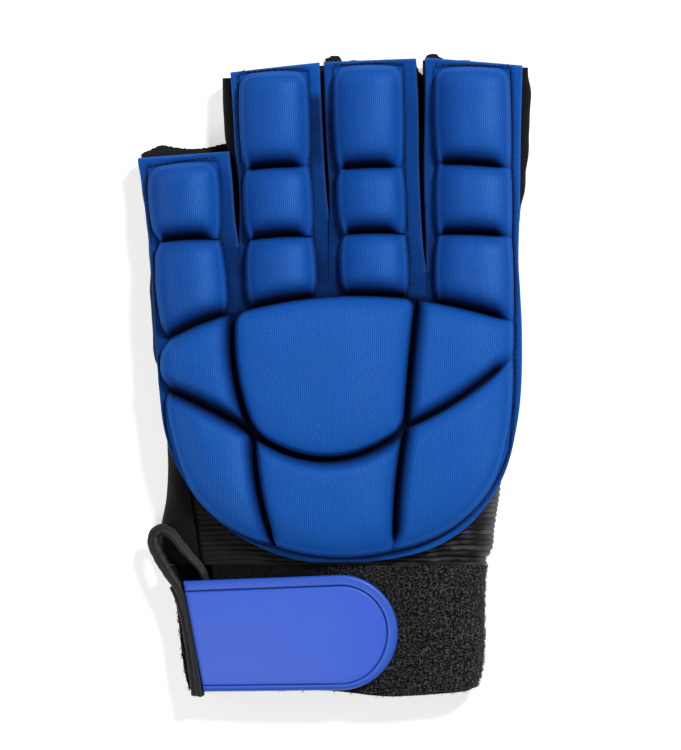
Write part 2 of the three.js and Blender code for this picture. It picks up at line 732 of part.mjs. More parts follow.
// Standing strip between the palm and the foam, along a path of stations.
// Each has its foot, its tuck towards the inside and its belly outwards.
const WALL_LEVELS = 4;
const WALL_FOOT_Z = PALM_THICK + SEAT_GAP;
function standingStrip(stations) {
  const middle = stations.map(({ x, y, inX, inY, tuck, belly, top }) => {
    const row = [];
    for (let k = 0; k <= WALL_LEVELS; k++) {
      const angle = (k / WALL_LEVELS) * (Math.PI / 2);
      const inward = tuck * (1 - Math.cos(angle)) - belly * Math.sin(2 * angle);
      const z = WALL_FOOT_Z + (top - WALL_FOOT_Z) * Math.sin(angle);
      row.push(new THREE.Vector3(x + inX * inward, y + inY * inward, z));
    }
    return row;
  });
  const sheet = thicken(middle, FABRIC_THICK);
  sheet.forEach(([foot]) => {
    foot.outer.z = WALL_FOOT_Z;
    foot.inner.z = WALL_FOOT_Z;
  });
  return closedSheet([sheet]);
}
function stripTop(x, y, finger) {
  return backZ(x, y, finger) - UNDER_FOAM_GAP - FABRIC_THICK / 2;
}
// The strip round one finger gap: down one finger's side and up the next's
const GAP_STRIP = { webDrop: 1.4, bendRise: 3.4, bendDepth: 3.0, tipInset: 0.4, tuck: 0.2, belly: 0.1 };
const GAP_STRIP_SHARES = [0, 0.2, 0.4, 0.6, 0.8, 1];
const GAP_BEND_SHARES = [0.25, 0.5, 0.75];
function gapStrip(slit) {
  const { webDrop, bendRise, bendDepth, tipInset, tuck, belly } = GAP_STRIP;
  const start = SLITS[slit][0].y - webDrop + bendRise;
  const side = (finger, edge) => {
    const tip = edge ? FINGERS[finger].tipRight : FINGERS[finger].tipLeft;
    const inX = edge ? -1 : 1;
    const seen = finger === 1 && edge === 0;
    return GAP_STRIP_SHARES.map((t) => {
      const y = THREE.MathUtils.lerp(start, tip - tipInset, t);
      const x = stripEdges(finger, y)[edge] + inX * WALL_INSET;
      const bulge = seen ? read(RING_SIDE_BELLY, "x", y) : belly;
      return { x, y, inX, inY: 0, tuck, belly: bulge, top: stripTop(x, y, finger) };
    });
  };
  const down = side(slit, 1).reverse();
  const up = side(slit + 1, 0);
  const foot = down[down.length - 1];
  const head = up[0];
  const half = (head.x - foot.x) / 2;
  const bend = GAP_BEND_SHARES.map((t) => {
    const angle = Math.PI * t;
    const x = (head.x + foot.x) / 2 - half * Math.cos(angle);
    const y = foot.y - bendDepth * Math.sin(angle);
    const top = Math.min(stripTop(x, y, slit), stripTop(x, y, slit + 1));
    return { x, y, inX: -Math.cos(angle), inY: -Math.sin(angle), tuck, belly: 0, top };
  });
  return standingStrip([...down, ...bend, ...up]);
}

// The long strips by the little finger and by the index finger
const SIDE_TUCK = 0.6;
const LITTLE_SIDE_ROWS = [-45.8, -43, -40, -37, -34, -30, -25, -19, -12, -4, 6, 18, 30, 42, 55, 67.6];
const INDEX_SIDE_ROWS = [THUMB_HOLE.front, 20, 30, 40, 50, 58, 66, 74, 82, 88, 93.4];
function littleSideStrip() {
  const stations = LITTLE_SIDE_ROWS.map((y) => {
    const wrist = isPastFoam(y);
    const x = wrist ? read(LITTLE_SIDE, "foot", y) : read(LEFT_EDGE, "x", y) + WALL_INSET;
    const tuck = wrist ? read(LITTLE_SIDE, "seam", y) - x : SIDE_TUCK;
    const belly = read(LITTLE_SIDE_BELLY, "x", y);
    return { x, y, inX: 1, inY: 0, tuck, belly, top: stripTop(x + tuck, y, 0) };
  });
  const strip = solidOf(standingStrip(stations));
  const corners = [SLIT_WEDGE.apex, SLIT_WEDGE.palm, SLIT_WEDGE.back];
  const wedge = new THREE.Shape(corners.map(([x, y]) => new THREE.Vector2(x, y)));
  const cutter = new THREE.ExtrudeGeometry(wedge, { depth: SLIT_WEDGE.height, bevelEnabled: false });
  cutter.translate(0, 0, SLIT_WEDGE.floor);
  return geometryOf(strip.subtract(solidOf(cutter)));
}
function indexSideStrip() {
  return standingStrip(
    INDEX_SIDE_ROWS.map((y) => {
      const x = read(RIGHT_EDGE, "x", y) - WALL_INSET;
      const belly = read(INDEX_SIDE_BELLY, "x", y);
      const top = stripTop(x - SIDE_TUCK, y, 3);
      return { x, y, inX: -1, inY: 0, tuck: SIDE_TUCK, belly, top };
    }),
  );
}

// Ribbed panel: across the back of the wrist and down the thumb's side
const RIB_BEND = 9;
const RIB_FLAT_STEPS = 5;
const RIB_BEND_STEPS = 4;
function ribPanel() {
  const sink = UNDER_FOAM_GAP + RIB_DEPTH + FABRIC_THICK / 2;
  const first = CUFF_TOP_Y + BAND_GAP;
  const count = Math.round(((RIB_TOP_Y - first) * 2) / RIB_PITCH);
  const rows = [];
  for (let i = 0; i <= count; i++) {
    const y = THREE.MathUtils.lerp(first, RIB_TOP_Y, i / count);
    const ridge = i % 2 ? -RIB_DEPTH : RIB_DEPTH;
    const start = read(LITTLE_SIDE, "seam", y) + SEAM_GAP;
    const bendX = read(RIB_SIDE, "x", y) - FABRIC_THICK / 2 - RIB_BEND;
    const row = [];
    for (let j = 0; j <= RIB_FLAT_STEPS; j++) {
      const x = THREE.MathUtils.lerp(start, bendX, j / RIB_FLAT_STEPS);
      row.push(new THREE.Vector3(x, y, backZ(x, y) - sink + ridge));
    }
    const shoulder = row[row.length - 1].z;
    for (let k = 1; k <= RIB_BEND_STEPS; k++) {
      const angle = (k / RIB_BEND_STEPS) * (Math.PI / 2);
      const x = bendX + (RIB_BEND + ridge) * Math.sin(angle);
      const z = WALL_FOOT_Z + (shoulder - WALL_FOOT_Z) * Math.cos(angle);
      row.push(new THREE.Vector3(x, y, z));
    }
    rows.push(row);
  }
  return closedSheet([thicken(rows, FABRIC_THICK)]);
}

// Wrist band: from the slit's back edge round the thumb's side, under the
// palm and up to the slit's palm edge
const CUFF_BACK_STEPS = 7;
const CUFF_TURN_STEPS = 8;
const CUFF_PALM_STEPS = 5;
const CUFF_RISE_STEPS = 4;
function cuffBand() {
  const half = CUFF_THICK / 2;
  const rows = CUFF_ROWS_Y.map((share) => {
    const y = THREE.MathUtils.lerp(CUFF_TOP_Y, CUFF_HEM.y, share);
    const turnX = read(CUFF_SIDES, "right", y) - half - CUFF_BEND;
    const leftX = read(CUFF_SIDES, "left", y) + half + CUFF_BEND;
    const pinch = CUFF_HEM.pinch * Math.pow(share, CUFF_HEM.pinchPower);
    const backOf = (x) => backZ(x, y) - half - pinch;
    const row = [];
    const place = (x, z) => {
      const side = Math.max((x - CUFF_HEM.riseStart) / CUFF_HEM.riseReach, 0);
      const hem = CUFF_HEM.y + CUFF_HEM.rise * side * side;
      row.push(new THREE.Vector3(x, THREE.MathUtils.lerp(CUFF_TOP_Y, hem, share), z));
    };
    for (let j = 0; j <= CUFF_BACK_STEPS; j++) {
      const x = THREE.MathUtils.lerp(read(CUFF_SIDES, "slit", y), turnX, j / CUFF_BACK_STEPS);
      place(x, backOf(x));
    }
    const crown = backOf(turnX);
    const centre = (crown + half) / 2;
    for (let k = 1; k <= CUFF_TURN_STEPS; k++) {
      const angle = (k / CUFF_TURN_STEPS) * Math.PI;
      place(turnX + CUFF_BEND * Math.sin(angle), centre + (crown - centre) * Math.cos(angle));
    }
    for (let j = 1; j <= CUFF_PALM_STEPS; j++) {
      place(THREE.MathUtils.lerp(turnX, leftX, j / CUFF_PALM_STEPS), half);
    }
    for (let k = 1; k <= CUFF_RISE_STEPS; k++) {
      const angle = (k / CUFF_RISE_STEPS) * (Math.PI / 2);
      const rise = (CUFF_LEFT_TOP_Z - half) * (1 - Math.cos(angle));
      place(leftX - CUFF_BEND * Math.sin(angle), half + rise);
    }
    return row;
  });
  return closedSheet([thicken(rows, CUFF_THICK)]);
}

// Strap: stations run along its top edge, round its end and back along its
// bottom edge, and each goes in over the rim and the groove to the spine.
function strapStations() {
  const { leftTop, leftBottom, arcX, arcY, arcRadius } = STRAP;
  const stations = [];
  const arcPoint = (angle) => [
    arcX + arcRadius * Math.sin(angle),
    arcY + arcRadius * Math.cos(angle),
  ];
  const spineLeft = [(leftTop[0] + leftBottom[0]) / 2, (leftTop[1] + leftBottom[1]) / 2];
  const straight = (from, to, t, spineT) => ({
    outer: [THREE.MathUtils.lerp(from[0], to[0], t), THREE.MathUtils.lerp(from[1], to[1], t)],
    spine: [
      THREE.MathUtils.lerp(spineLeft[0], arcX, spineT),
      THREE.MathUtils.lerp(spineLeft[1], arcY, spineT),
    ],
  });
  for (let i = 0; i < STRAP_STRAIGHT_STEPS; i++) {
    const t = i / STRAP_STRAIGHT_STEPS;
    stations.push(straight(leftTop, arcPoint(0), t, t));
  }
  for (let i = 0; i <= STRAP_ARC_STEPS; i++) {
    const angle = (Math.PI * i) / STRAP_ARC_STEPS;
    stations.push({ outer: arcPoint(angle), spine: [arcX, arcY] });
  }
  for (let i = 1; i <= STRAP_STRAIGHT_STEPS; i++) {
    const t = i / STRAP_STRAIGHT_STEPS;
    stations.push(straight(arcPoint(Math.PI), leftBottom, t, 1 - t));
  }
  return stations;
}
function strapGeometry() {
  const grid = strapStations().map(({ outer, spine }) => {
    const length = Math.hypot(spine[0] - outer[0], spine[1] - outer[1]);
    const pairAt = (inset, rise) => {
      const t = inset / length;
      const x = THREE.MathUtils.lerp(outer[0], spine[0], t);
      const y = THREE.MathUtils.lerp(outer[1], spine[1], t);
      const z = backZ(x, y) + BAND_GAP;
      return { outer: new THREE.Vector3(x, y, z + rise), inner: new THREE.Vector3(x, y, z) };
    };
    const inner = STRAP_PROFILE[STRAP_PROFILE.length - 1];
    return [
      ...STRAP_PROFILE.map(({ inset, rise }) => pairAt(inset, rise)),
      pairAt((inner.inset + length) / 2, STRAP_THICK),
      pairAt(length, STRAP_THICK),
    ];
  });
  return closedSheet([grid]);
}

// Round bindings along a curve
function curveThrough(points, closed) {
  const places = points.map(({ x, y, z }) => new THREE.Vector3(x, y, z));
  return new THREE.CatmullRomCurve3(places, closed, "centripetal");
}
function bindingRing(points, steps) {
  return new THREE.TubeGeometry(
    curveThrough(points, true),
    steps,
    THUMB_BINDING_RADIUS,
    TUBE_SIDES,
    true,
  );
}
function bindingTube(points, steps) {
  const curve = curveThrough(points, false);
  const section = new THREE.Shape();
  for (let i = 0; i < TUBE_SIDES; i++) {
    const angle = (2 * Math.PI * i) / TUBE_SIDES;
    const [x, y] = [BINDING_RADIUS * Math.cos(angle), BINDING_RADIUS * Math.sin(angle)];
    if (i) section.lineTo(x, y);
    else section.moveTo(x, y);
  }
  section.closePath();
  return new THREE.ExtrudeGeometry(section, { steps, extrudePath: curve, bevelEnabled: false });
}

// Materials
const foamCloth = new THREE.MeshStandardMaterial({ color: BLUE, roughness: 0.62 });
const strapRubber = new THREE.MeshStandardMaterial({ color: STRAP_BLUE, roughness: 0.42 });
const palmSuede = new THREE.MeshStandardMaterial({ color: 0x17171a, roughness: 0.9 });
const sideCloth = new THREE.MeshStandardMaterial({ color: 0x1c1b20, roughness: 0.75 });
const ribCloth = new THREE.MeshStandardMaterial({ color: 0x1d1c1e, roughness: 0.55 });
const loopPile = new THREE.MeshStandardMaterial({ color: 0x161616, roughness: 0.95 });
const bindingVinyl = new THREE.MeshStandardMaterial({ color: 0x242326, roughness: 0.45 });

function named(name, geometry, material) {
  const mesh = new THREE.Mesh(geometry, material);
  mesh.name = name;
  return mesh;
}

const glove = new THREE.Group();
glove.add(
  named("foam_back_pad", foamPanel(), foamCloth),
  named("palm_panel", palmSheet(), palmSuede),
  named("little_finger_side", littleSideStrip(), sideCloth),
  named("index_finger_side", indexSideStrip(), sideCloth),
  named("rib_panel", ribPanel(), ribCloth),
  named("wrist_band", cuffBand(), loopPile),
  named("closing_strap", strapGeometry(), strapRubber),
  named("slit_binding", bindingTube(SLIT_BINDING, 46), bindingVinyl),
  named("strap_binding", bindingTube(STRAP_BINDING, 8), bindingVinyl),
  named("thumb_hole_binding", bindingRing(THUMB_BINDING, 36), bindingVinyl),
);
SLITS.forEach((slit, i) => {
  const name = `gusset_${FINGERS[i].name}_${FINGERS[i + 1].name}`;
  glove.add(named(name, gapStrip(i), sideCloth));
});

export default glove;
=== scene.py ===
import math

import bpy
import numpy as np
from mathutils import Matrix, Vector


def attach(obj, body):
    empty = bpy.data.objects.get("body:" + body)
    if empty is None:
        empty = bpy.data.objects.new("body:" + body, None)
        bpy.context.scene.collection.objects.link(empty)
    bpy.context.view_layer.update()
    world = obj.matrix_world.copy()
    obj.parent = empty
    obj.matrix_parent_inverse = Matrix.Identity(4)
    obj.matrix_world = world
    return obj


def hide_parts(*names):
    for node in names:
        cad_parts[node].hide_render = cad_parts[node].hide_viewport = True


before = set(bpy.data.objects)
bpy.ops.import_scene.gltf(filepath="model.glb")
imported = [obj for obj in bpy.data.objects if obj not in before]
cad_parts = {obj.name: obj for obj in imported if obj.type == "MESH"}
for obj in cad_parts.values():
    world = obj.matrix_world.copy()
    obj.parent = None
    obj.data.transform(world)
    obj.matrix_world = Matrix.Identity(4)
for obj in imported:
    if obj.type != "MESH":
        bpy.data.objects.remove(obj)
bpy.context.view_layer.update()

bl_info = {
    "name": "Field hockey glove",
    "version": (1, 0, 0),
    "blender": (4, 5, 0),
    "location": "View3D > Sidebar > Glove",
    "description": "Builds a padded left-hand field hockey glove over its CAD frame",
    "category": "Object",
}

# Units: the tables and shapes below are in millimetres, +Y to the fingertips
MM = 0.001

# The hand's arch and the foam panel's edges, as in the CAD
FLANGE_THICK = 2.0
FABRIC_THICK = 1.2
PALM_THICK = 1.4
CUFF_THICK = 2.0
WALL_FOOT_Z = 1.7
UNDER_FOAM_GAP = 0.5
WALL_INSET = 1.6
BAND_GAP = 0.5
ARCH_CROWN_X = 8
ARCH_REACH = 58
FINGER_ARCH_START_Y = 28
FINGER_ARCH_FULL_Y = 54
FINGER_ARCH = 1.8
ARCH = {
    "y": [-86, -80, -66, -46, -20, 4, 28, 50, 75, 98],
    "height": [12.6, 14.6, 15.8, 16.8, 19.6, 21.0, 20.0, 18.0, 16.2, 15.0],
    "drop": [4.2, 4.6, 5.0, 5.4, 7.4, 8.0, 7.4, 6.0, 5.0, 4.4],
}
FINGERS = [
    {"name": "little", "tip_left": 67.9, "tip_right": 69.7, "lean": 0.03},
    {"name": "ring", "tip_left": 91.9, "tip_right": 94.7, "lean": -0.06},
    {"name": "middle", "tip_left": 94.7, "tip_right": 95.8, "lean": -0.03},
    {"name": "index", "tip_left": 96.0, "tip_right": 93.9, "lean": 0.02},
]
# How far the palm's raw edge reaches past each fingertip, from left to right
FRAYS = [
    {"y": [0, 0.12, 0.2, 0.35, 0.5, 0.7, 0.85, 1], "out": [1.4, 2.6, 3.4, 2.6, 1.9, 1.9, 2.6, 2.8]},
    {"y": [0, 0.5, 1], "out": [-0.6, -0.4, -0.4]},
    {"y": [0, 0.1, 0.15, 0.19, 0.3, 0.45, 1], "out": [1.4, 2.2, 1.9, 0.6, 0.7, 0.2, 0.1]},
    {"y": [0, 0.06, 0.12, 0.17, 0.3, 0.45, 0.6, 1], "out": [0.9, 1.6, 1.5, 0.6, 0.3, 0.6, 0.1, -0.2]},
]
LEFT_EDGE = {
    "y": [-45.4, -44.2, -41.7, -38.6, -34.2, -29.1, -23.2, -17.2, -8.1, 2.8, 18.3, 30.0, 40.3, 50.7,
          58.8, 70.0],
    "x": [-6.0, -12.0, -19.2, -25.4, -31.6, -36.6, -41.0, -44.3, -47.2, -48.5, -49.8, -50.5, -51.1,
          -52.3, -53.4, -55.0],
}
RIGHT_EDGE = {
    "y": [-45.4, -44.4, -42.4, -38.4, -30.4, -20.7, -6.4, 2.2, 19.3, 30.8, 38.5, 54.0, 74.9, 97.0],
    "x": [9.0, 16.5, 25.1, 33.6, 42.2, 47.9, 51.5, 52.5, 52.8, 52.3, 51.9, 52.3, 52.6, 53.2],
}
SLITS = [
    {"y": [43, 51, 62, 70, 78, 96], "x": [-26.2, -26.7, -27.3, -28.2, -28.6, -29.8],
     "gap": [0.0, 1.2, 1.9, 1.7, 1.6, 1.6]},
    {"y": [51, 58, 75, 96], "x": [-0.9, -1.4, -2.4, -3.2], "gap": [0.0, 0.8, 0.9, 1.2]},
    {"y": [36, 43, 64, 83, 97], "x": [26.0, 25.6, 24.8, 24.8, 24.5], "gap": [0.0, 0.8, 1.3, 1.9, 2.7]},
]

# Finger columns: the grooves' ends from the tip to the knuckles, left and
# right, how far each side bows out, and how deep each side is notched.
FINGER_COLUMNS = [
    {"left": [[-51.8, 65.0], [-49.8, 44.3], [-47.4, 17.2]],
     "right": [[-32.4, 66.7], [-31.6, 45.2], [-29.4, 24.6]],
     "bow": 1.0, "notch": 1.5, "right_notch": 0.15, "knuckle": ["knuckleOuterLeft", "knuckleLeft"]},
    {"left": [[-26.2, 91.0], [-25.2, 64.4], [-24.2, 44.9], [-23.8, 26.3]],
     "right": [[-7.2, 91.9], [-6.4, 65.4], [-5.5, 46.0], [-4.6, 29.6]],
     "bow": 0.6, "notch": 0.7, "right_notch": 0.25, "knuckle": ["knuckleLeft", "knuckleRight"]},
    {"left": [[0.2, 93.0], [1.0, 64.6], [2.2, 46.4], [2.6, 30.0]],
     "right": [[19.4, 93.4], [19.8, 65.1], [20.5, 46.6], [21.2, 29.6]],
     "bow": 0.6, "notch": 0.6, "right_notch": 0.2, "knuckle": ["knuckleLeft", "knuckleRight"]},
    {"left": [[28.4, 92.9], [28.9, 66.2], [29.0, 46.5], [28.6, 28.2]],
     "right": [[49.5, 92.6], [49.9, 64.9], [50.1, 45.7], [50.6, 22.2]],
     "bow": 0.5, "notch": 0.3, "right_notch": 0.0, "knuckle": ["knuckleRight", "knuckleOuterRight"]},
]
# Junctions of the grooves on the back of the hand
JUNCTIONS = {
    "knuckleOuterLeft": [-46.8, 16.6],
    "knuckleLeft": [-27.6, 24.3],
    "knuckleRight": [23.2, 28.2],
    "knuckleOuterRight": [50.6, 21.8],
    "waistOuterLeft": [-46.6, 3.2],
    "waistLeft": [-21.9, -9.2],
    "waistRight": [19.9, -7.9],
    "waistOuterRight": [50.4, 12.2],
    "heelOuterLeft": [-45.6, -12.0],
    "heelLeft": [-15.8, -41.0],
    "heelRight": [17.0, -42.2],
    "heelOuterRight": [49.0, -14.0],
}
# Sagitta of each groove or edge, to the left of the way from its first name
BOWS = {
    ("knuckleOuterLeft", "knuckleLeft"): 0.9,
    ("knuckleLeft", "knuckleRight"): 2.7,
    ("knuckleRight", "knuckleOuterRight"): 0.6,
    ("waistOuterLeft", "waistLeft"): 0.6,
    ("waistLeft", "waistRight"): -7.6,
    ("waistRight", "waistOuterRight"): -1.8,
    ("knuckleLeft", "waistLeft"): -2.2,
    ("knuckleRight", "waistRight"): -0.3,
    ("waistLeft", "heelLeft"): -1.5,
    ("waistRight", "heelRight"): -0.9,
    ("knuckleOuterLeft", "waistOuterLeft"): -1.8,
    ("waistOuterLeft", "heelOuterLeft"): -0.8,
    ("heelOuterLeft", "heelLeft"): -6.4,
    ("heelLeft", "heelRight"): -2.4,
    ("heelRight", "heelOuterRight"): -6.4,
    ("heelOuterRight", "waistOuterRight"): -0.5,
    ("waistOuterRight", "knuckleOuterRight"): -0.1,
}
# Each hand pad by its corners, its crown, for some the strength of its painted highlight (shine), and for
# each edge from a corner to the next: how far the pad rolls down to a groove, or 0 for the outer edge.
HAND_PADS = [
    {"corners": ["knuckleLeft", "waistLeft", "waistRight", "knuckleRight"], "crown": 4.4,
     "rolls": [1.3, 1.5, 1.4, 1.6]},
    {"corners": ["knuckleOuterLeft", "waistOuterLeft", "waistLeft", "knuckleLeft"], "crown": 3.4,
     "shine": 0.7, "rolls": [0, 4.2, 5.8, 1.9]},
    {"corners": ["knuckleRight", "waistRight", "waistOuterRight", "knuckleOuterRight"], "crown": 3.4,
     "rolls": [5.0, 4.0, 0, 1.9]},
    {"corners": ["waistOuterLeft", "heelOuterLeft", "heelLeft", "waistLeft"], "crown": 3.4,
     "shine": 0.8, "rolls": [0, 0, 5.2, 4.6]},
    {"corners": ["waistLeft", "heelLeft", "heelRight", "waistRight"], "crown": 3.8,
     "rolls": [1.5, 0, 1.5, 4.6]},
    {"corners": ["waistRight", "heelRight", "heelOuterRight", "waistOuterRight"], "crown": 3.4,
     "rolls": [4.6, 0, 0, 1.8]},
]
KNUCKLE_SHIFT_Y = 0.1
# Form of a pad: its wall at the outer edges, its crown, and the rolls into its grooves. A roll under
# LIP_LIMIT makes a lip, and a longer one a slope. A groove fades out towards the outer edges.
FINGER_ROLLS = {"top": 1.5, "bottom": 6.2, "knuckle": 6.2}
PAD_WALL = {"height": 4.4, "run": 1.15, "power": 2.3, "corner": 3.6}
FINGER_CROWN = 4.2
# Painted shade on each finger's pads, added towards their left sides
FINGER_SHADES = [0.3, 0.2, 0.4, 1.5]
# Painted highlight streak down each pad: where across it and how wide
PAD_SHINE = {"place": 0.72, "width": 0.13}
CROWN_RUN = 10.0
TIP_CROWN_RUN = 6.0
GROOVE_BULGE = 0.4
LIP_LIMIT = 3.0
GROOVE_FLOOR = {"lip": 0.22, "slope": 0.5}
GROOVE_SHADE = {"lip": 0.55, "slope": 0.95}
GROOVE_POWER = 2.1
GROOVE_BED = -0.15
OUTER_BED = 0.25
PILLOW_SHARE = 0.17
# Painted highlight line where the cover turns over the wall, partly the lighter stretched cover
PAD_RIM = {"inset": 0.95, "width": 0.5}
PAD_CREST = {"start": 0.8, "full": 4.6}
LIP_CORNER = 3.0
COVER_REACH = 8.0
FADE = {"start": 0.5, "end": 5.6, "share": 0.86, "taper": 6.5, "least": 0.45}
LEFT_FADE = 0.45
NOTCH_WIDTH = 2.1
# Rings of points inside a pad's edge, close together at the wall and wide on the crown
RING_DISTANCES = [0.02, 0.14, 0.28, 0.43, 0.6, 0.8, 1.02, 1.28, 1.6, 2.0, 2.5, 3.1, 3.8, 4.6, 5.6, 6.7]
RING_RUN = 8.0
PAD_SAMPLE = 0.62
INNER_RING_STEP = 1.9

# Heights and edges of the sides, the ribbed panel and the wrist band
THUMB_HOLE = {"back": -19.0, "front": 12.0, "depth": 8.0}
LITTLE_SIDE_BELLY = {"y": [-46, -10, 2, 10, 34, 42, 70], "x": [0.6, 1.0, 1.55, 1.95, 1.95, 1.6, 1.4]}
INDEX_SIDE_BELLY = {"y": [10, 50, 62, 78, 88, 93.4], "x": [0.8, 1.2, 2.9, 3.8, 3.6, 2.9]}
RING_SIDE_BELLY = {"y": [42, 58, 66, 72, 84, 92], "x": [0.2, 0.6, 2.0, 3.6, 3.9, 3.4]}
LITTLE_SIDE = {
    "y": [-46.0, -41.0, -36.0, -28.0, -20.0, -12.0, -3.0, 10.0],
    "foot": [-46.2, -48.2, -47.8, -46.2, -45.6, -45.6, -46.4, -47.2],
    "seam": [-37.2, -37.9, -38.5, -39.8, -41.0, -42.4, -45.2, -46.8],
}
SLIT_EDGE = {"x": -51.5, "y": -31.8, "slope": 1.066, "floor": 7.0}
RIB_SIDE = {"y": [-46.2, -44.4, -42.6, -36.0, -25.0, -18.0], "x": [43.4, 43.0, 44.4, 45.4, 47.0, 47.6]}
RIB_TOP_Y = -19.0
CUFF_TOP_Y = -46.3
CUFF_SIDES = {
    "y": [-84, -80, -74, -60, -54, -46],
    "left": [-40.2, -41.4, -42.4, -43.9, -44.8, -46.6],
    "slit": [-29.6, -30.1, -30.8, -32.4, -33.1, -34.0],
    "right": [40.6, 41.9, 42.6, 42.7, 42.8, 43.4],
}
CUFF_BEND = 8.0
CUFF_HEM = {"y": -83.1, "left": -3.0, "lift": 1.9, "rise": 2.4, "start": 8, "reach": 35, "pinch": 0.5,
            "corner": 36, "corner_run": 6.5, "corner_rise": 3.2}
CUFF_LEFT_TOP_Z = 9.9
STRAP = {"left_top": [-42.0, -50.8], "left_bottom": [-36.2, -81.9], "arc": [2.0, -65.2],
         "radius": 16.2, "narrow_rim": 0.58}
STRAP_PROFILE = {
    "inset": [0.0, 0.06, 0.22, 0.5, 0.9, 1.5, 2.1, 2.5, 2.72, 2.84, 2.93, 3.0, 3.07, 3.16, 3.3, 3.6, 4.4],
    "rise": [0.7, 1.1, 1.45, 1.66, 1.74, 1.76, 1.74, 1.7, 1.58, 1.32, 1.0, 0.9, 1.0, 1.26, 1.4, 1.44, 1.46],
}
# Middle lines of the three bindings
SLIT_BINDING = [
    (-37.2, -83.0, 12.2), (-38.5, -73.3, 12.9), (-40.2, -62.8, 13.1), (-41.7, -56.5, 12.8),
    (-43.1, -53.0, 12.3), (-45.7, -49.2, 11.3), (-48.6, -44.4, 9.8), (-50.3, -40.6, 8.9),
    (-50.2, -37.9, 9.0), (-48.0, -36.3, 10.0), (-45.3, -37.5, 11.2), (-42.5, -40.8, 12.4),
    (-39.7, -44.2, 13.1), (-36.9, -47.5, 13.2), (-35.6, -51.2, 12.2), (-34.7, -58.0, 12.0),
    (-33.5, -68.0, 11.7), (-32.1, -81.0, 10.6),
]
STRAP_BINDING = [(-38.7, -82.9, 11.0), (-39.95, -73.6, 11.3), (-41.9, -61.0, 11.35), (-43.6, -55.4, 11.0),
                 (-45.0, -52.4, 10.2)]
THUMB_BINDING = [
    (51.2, 10.6, 4.2), (51.5, 10.6, 8.5), (51.0, 10.4, 12.8), (50.5, 7.6, 14.9), (50.2, 0.0, 15.1),
    (49.2, -9.0, 15.0), (47.9, -15.6, 14.5), (47.0, -17.5, 12.0), (46.8, -17.6, 7.5),
    (46.5, -17.3, 4.2), (45.3, -13.6, 2.85), (43.6, -3.5, 2.8), (47.3, 6.6, 2.85),
]
PALM = {"slit_shift": 0.25, "notches": [0, 0.2, 1], "little_inset": 0.6, "index_inset": 1.2,
        "rib_inset": 0.2, "foot_overlap": 0.6, "end_y": -46.26,
        "sag": 0.12, "to_foot": (4, 20), "fray_run": 9, "notch": (-4.2, -3.0), "web_run": 1.5}

# How dark the flange lies beside each column of finger pads
FLANGE_SHADOW = [
    {"y": [0, 26, 44, 60, 66], "left": [0, 0, 0, 0, 0], "right": [0, 0.95, 0.8, 0.6, 0.3]},
    {"y": [20, 26, 44, 62, 66, 84, 87], "left": [0, 0.9, 0.8, 0.7, 0.3, 0.25, 0],
     "right": [0, 0.95, 0.85, 0.8, 0.97, 0.97, 0]},
    {"y": [20, 27, 44, 62, 80, 88], "left": [0, 0.95, 0.92, 0.93, 0.9, 0.3],
     "right": [0, 0.7, 0.6, 0.55, 0.55, 0.4]},
    {"y": [20, 27, 44, 50, 80, 90], "left": [0, 0.95, 0.93, 0.6, 0.55, 0.2],
     "right": [0, 0, 0, 0, 0, 0]},
]
FLANGE_END_Y = -45.4
LEVEL_ROWS_Y = 51
FLANGE = {"round": 0.75, "under_pad": 0.9, "beside_pad": 0.3, "rim": 0.42}
KNUCKLE_SHADOW = {"strength": 0.93, "from_left": (2.5, 6.0), "from_right": (4.8, 7.0), "heel": (-70, -34),
                  "web": (18, 24)}
WAIST_SHADOW = {"strength": 0.6, "from_left": (3.0, 5.0), "top": (-30, -18), "bottom": (-36, -20)}
EDGE_SHARES = [0, 0.006, 0.016, 0.03, 0.05]
# How far the seams run outside the pads, and how they turn at the tips and the webs
STITCH_OFF = 0.3
SEAM = {"side": 3.2, "web": 2.2, "corner": 3.4, "rise": 0.9, "hand_off": 0.15, "hem": 1.2}
# How far below the two fingertips each gap strip ends
GAP_STRIP_ENDS = [(0.4, 1.5), (0.8, 0.8), (2.6, 0.6)]
GAP_STRIP = {"start": 2.0, "tuck": 0.2, "bend": 3.0}
SIDE_TUCK = 0.6
RIB_BEND = 9.0
RIBS = {"sink": 0.35, "rows_each": 8, "seam_gap": 0.45, "power": 0.75}
# How the roll round the slit widens along its run, most at the slit's head
LOOP_SWELL = {"y": [0.0, 0.2, 0.31, 0.40, 0.46, 0.52, 0.60, 0.7, 1.0],
              "wide": [0.84, 0.86, 1.02, 1.32, 1.34, 1.1, 0.98, 0.86, 0.8]}

FULL_TURN = 2 * math.pi

# Uneven fields of worn or hand-sewn surfaces: height, wave length and seed
UNEVEN = {
    "pad": (0.10, 17.0, 1.7), "flange": (0.10, 9.0, 0.4), "fray": (0.2, 1.3, 1.0), "palm": (0.12, 14.0, 3.0),
    "rib_row": (0.45, 22.0, 0.5), "rib_side": (0.3, 7.0, 2.0), "rib_wear": (0.35, 5.0, 3.3),
    "rib_glint": (1.0, 9.0, 1.1), "pile_tuft": (0.07, 2.6, 0.3), "pile_fine": (0.06, 1.7, 4.0),
    "strap": (0.04, 24.0, 1.0),
}
STITCH_SHAPE = {
    "along": [-1, -0.86, -0.5, 0.0, 0.5, 0.86, 1],
    "radius": [0.12, 0.62, 0.96, 1.0, 0.96, 0.62, 0.12],
    "height": [-0.9, -0.2, 0.25, 0.4, 0.25, -0.2, -0.9],
}
STITCH_SIDES = 7
STITCH_SINK = 0.05
# Distance between two wales of the pile, and its single threads
PILE_WALE = 1.5
PILE_THREADS = {"count": 6000, "seed": 7, "radius": 0.075, "least": 0.45, "most": 1.15, "turn": 1.05,
                "round": 0.42, "tall": 1.25, "sink": 0.05, "twist": 1.7, "sway": 0.35}

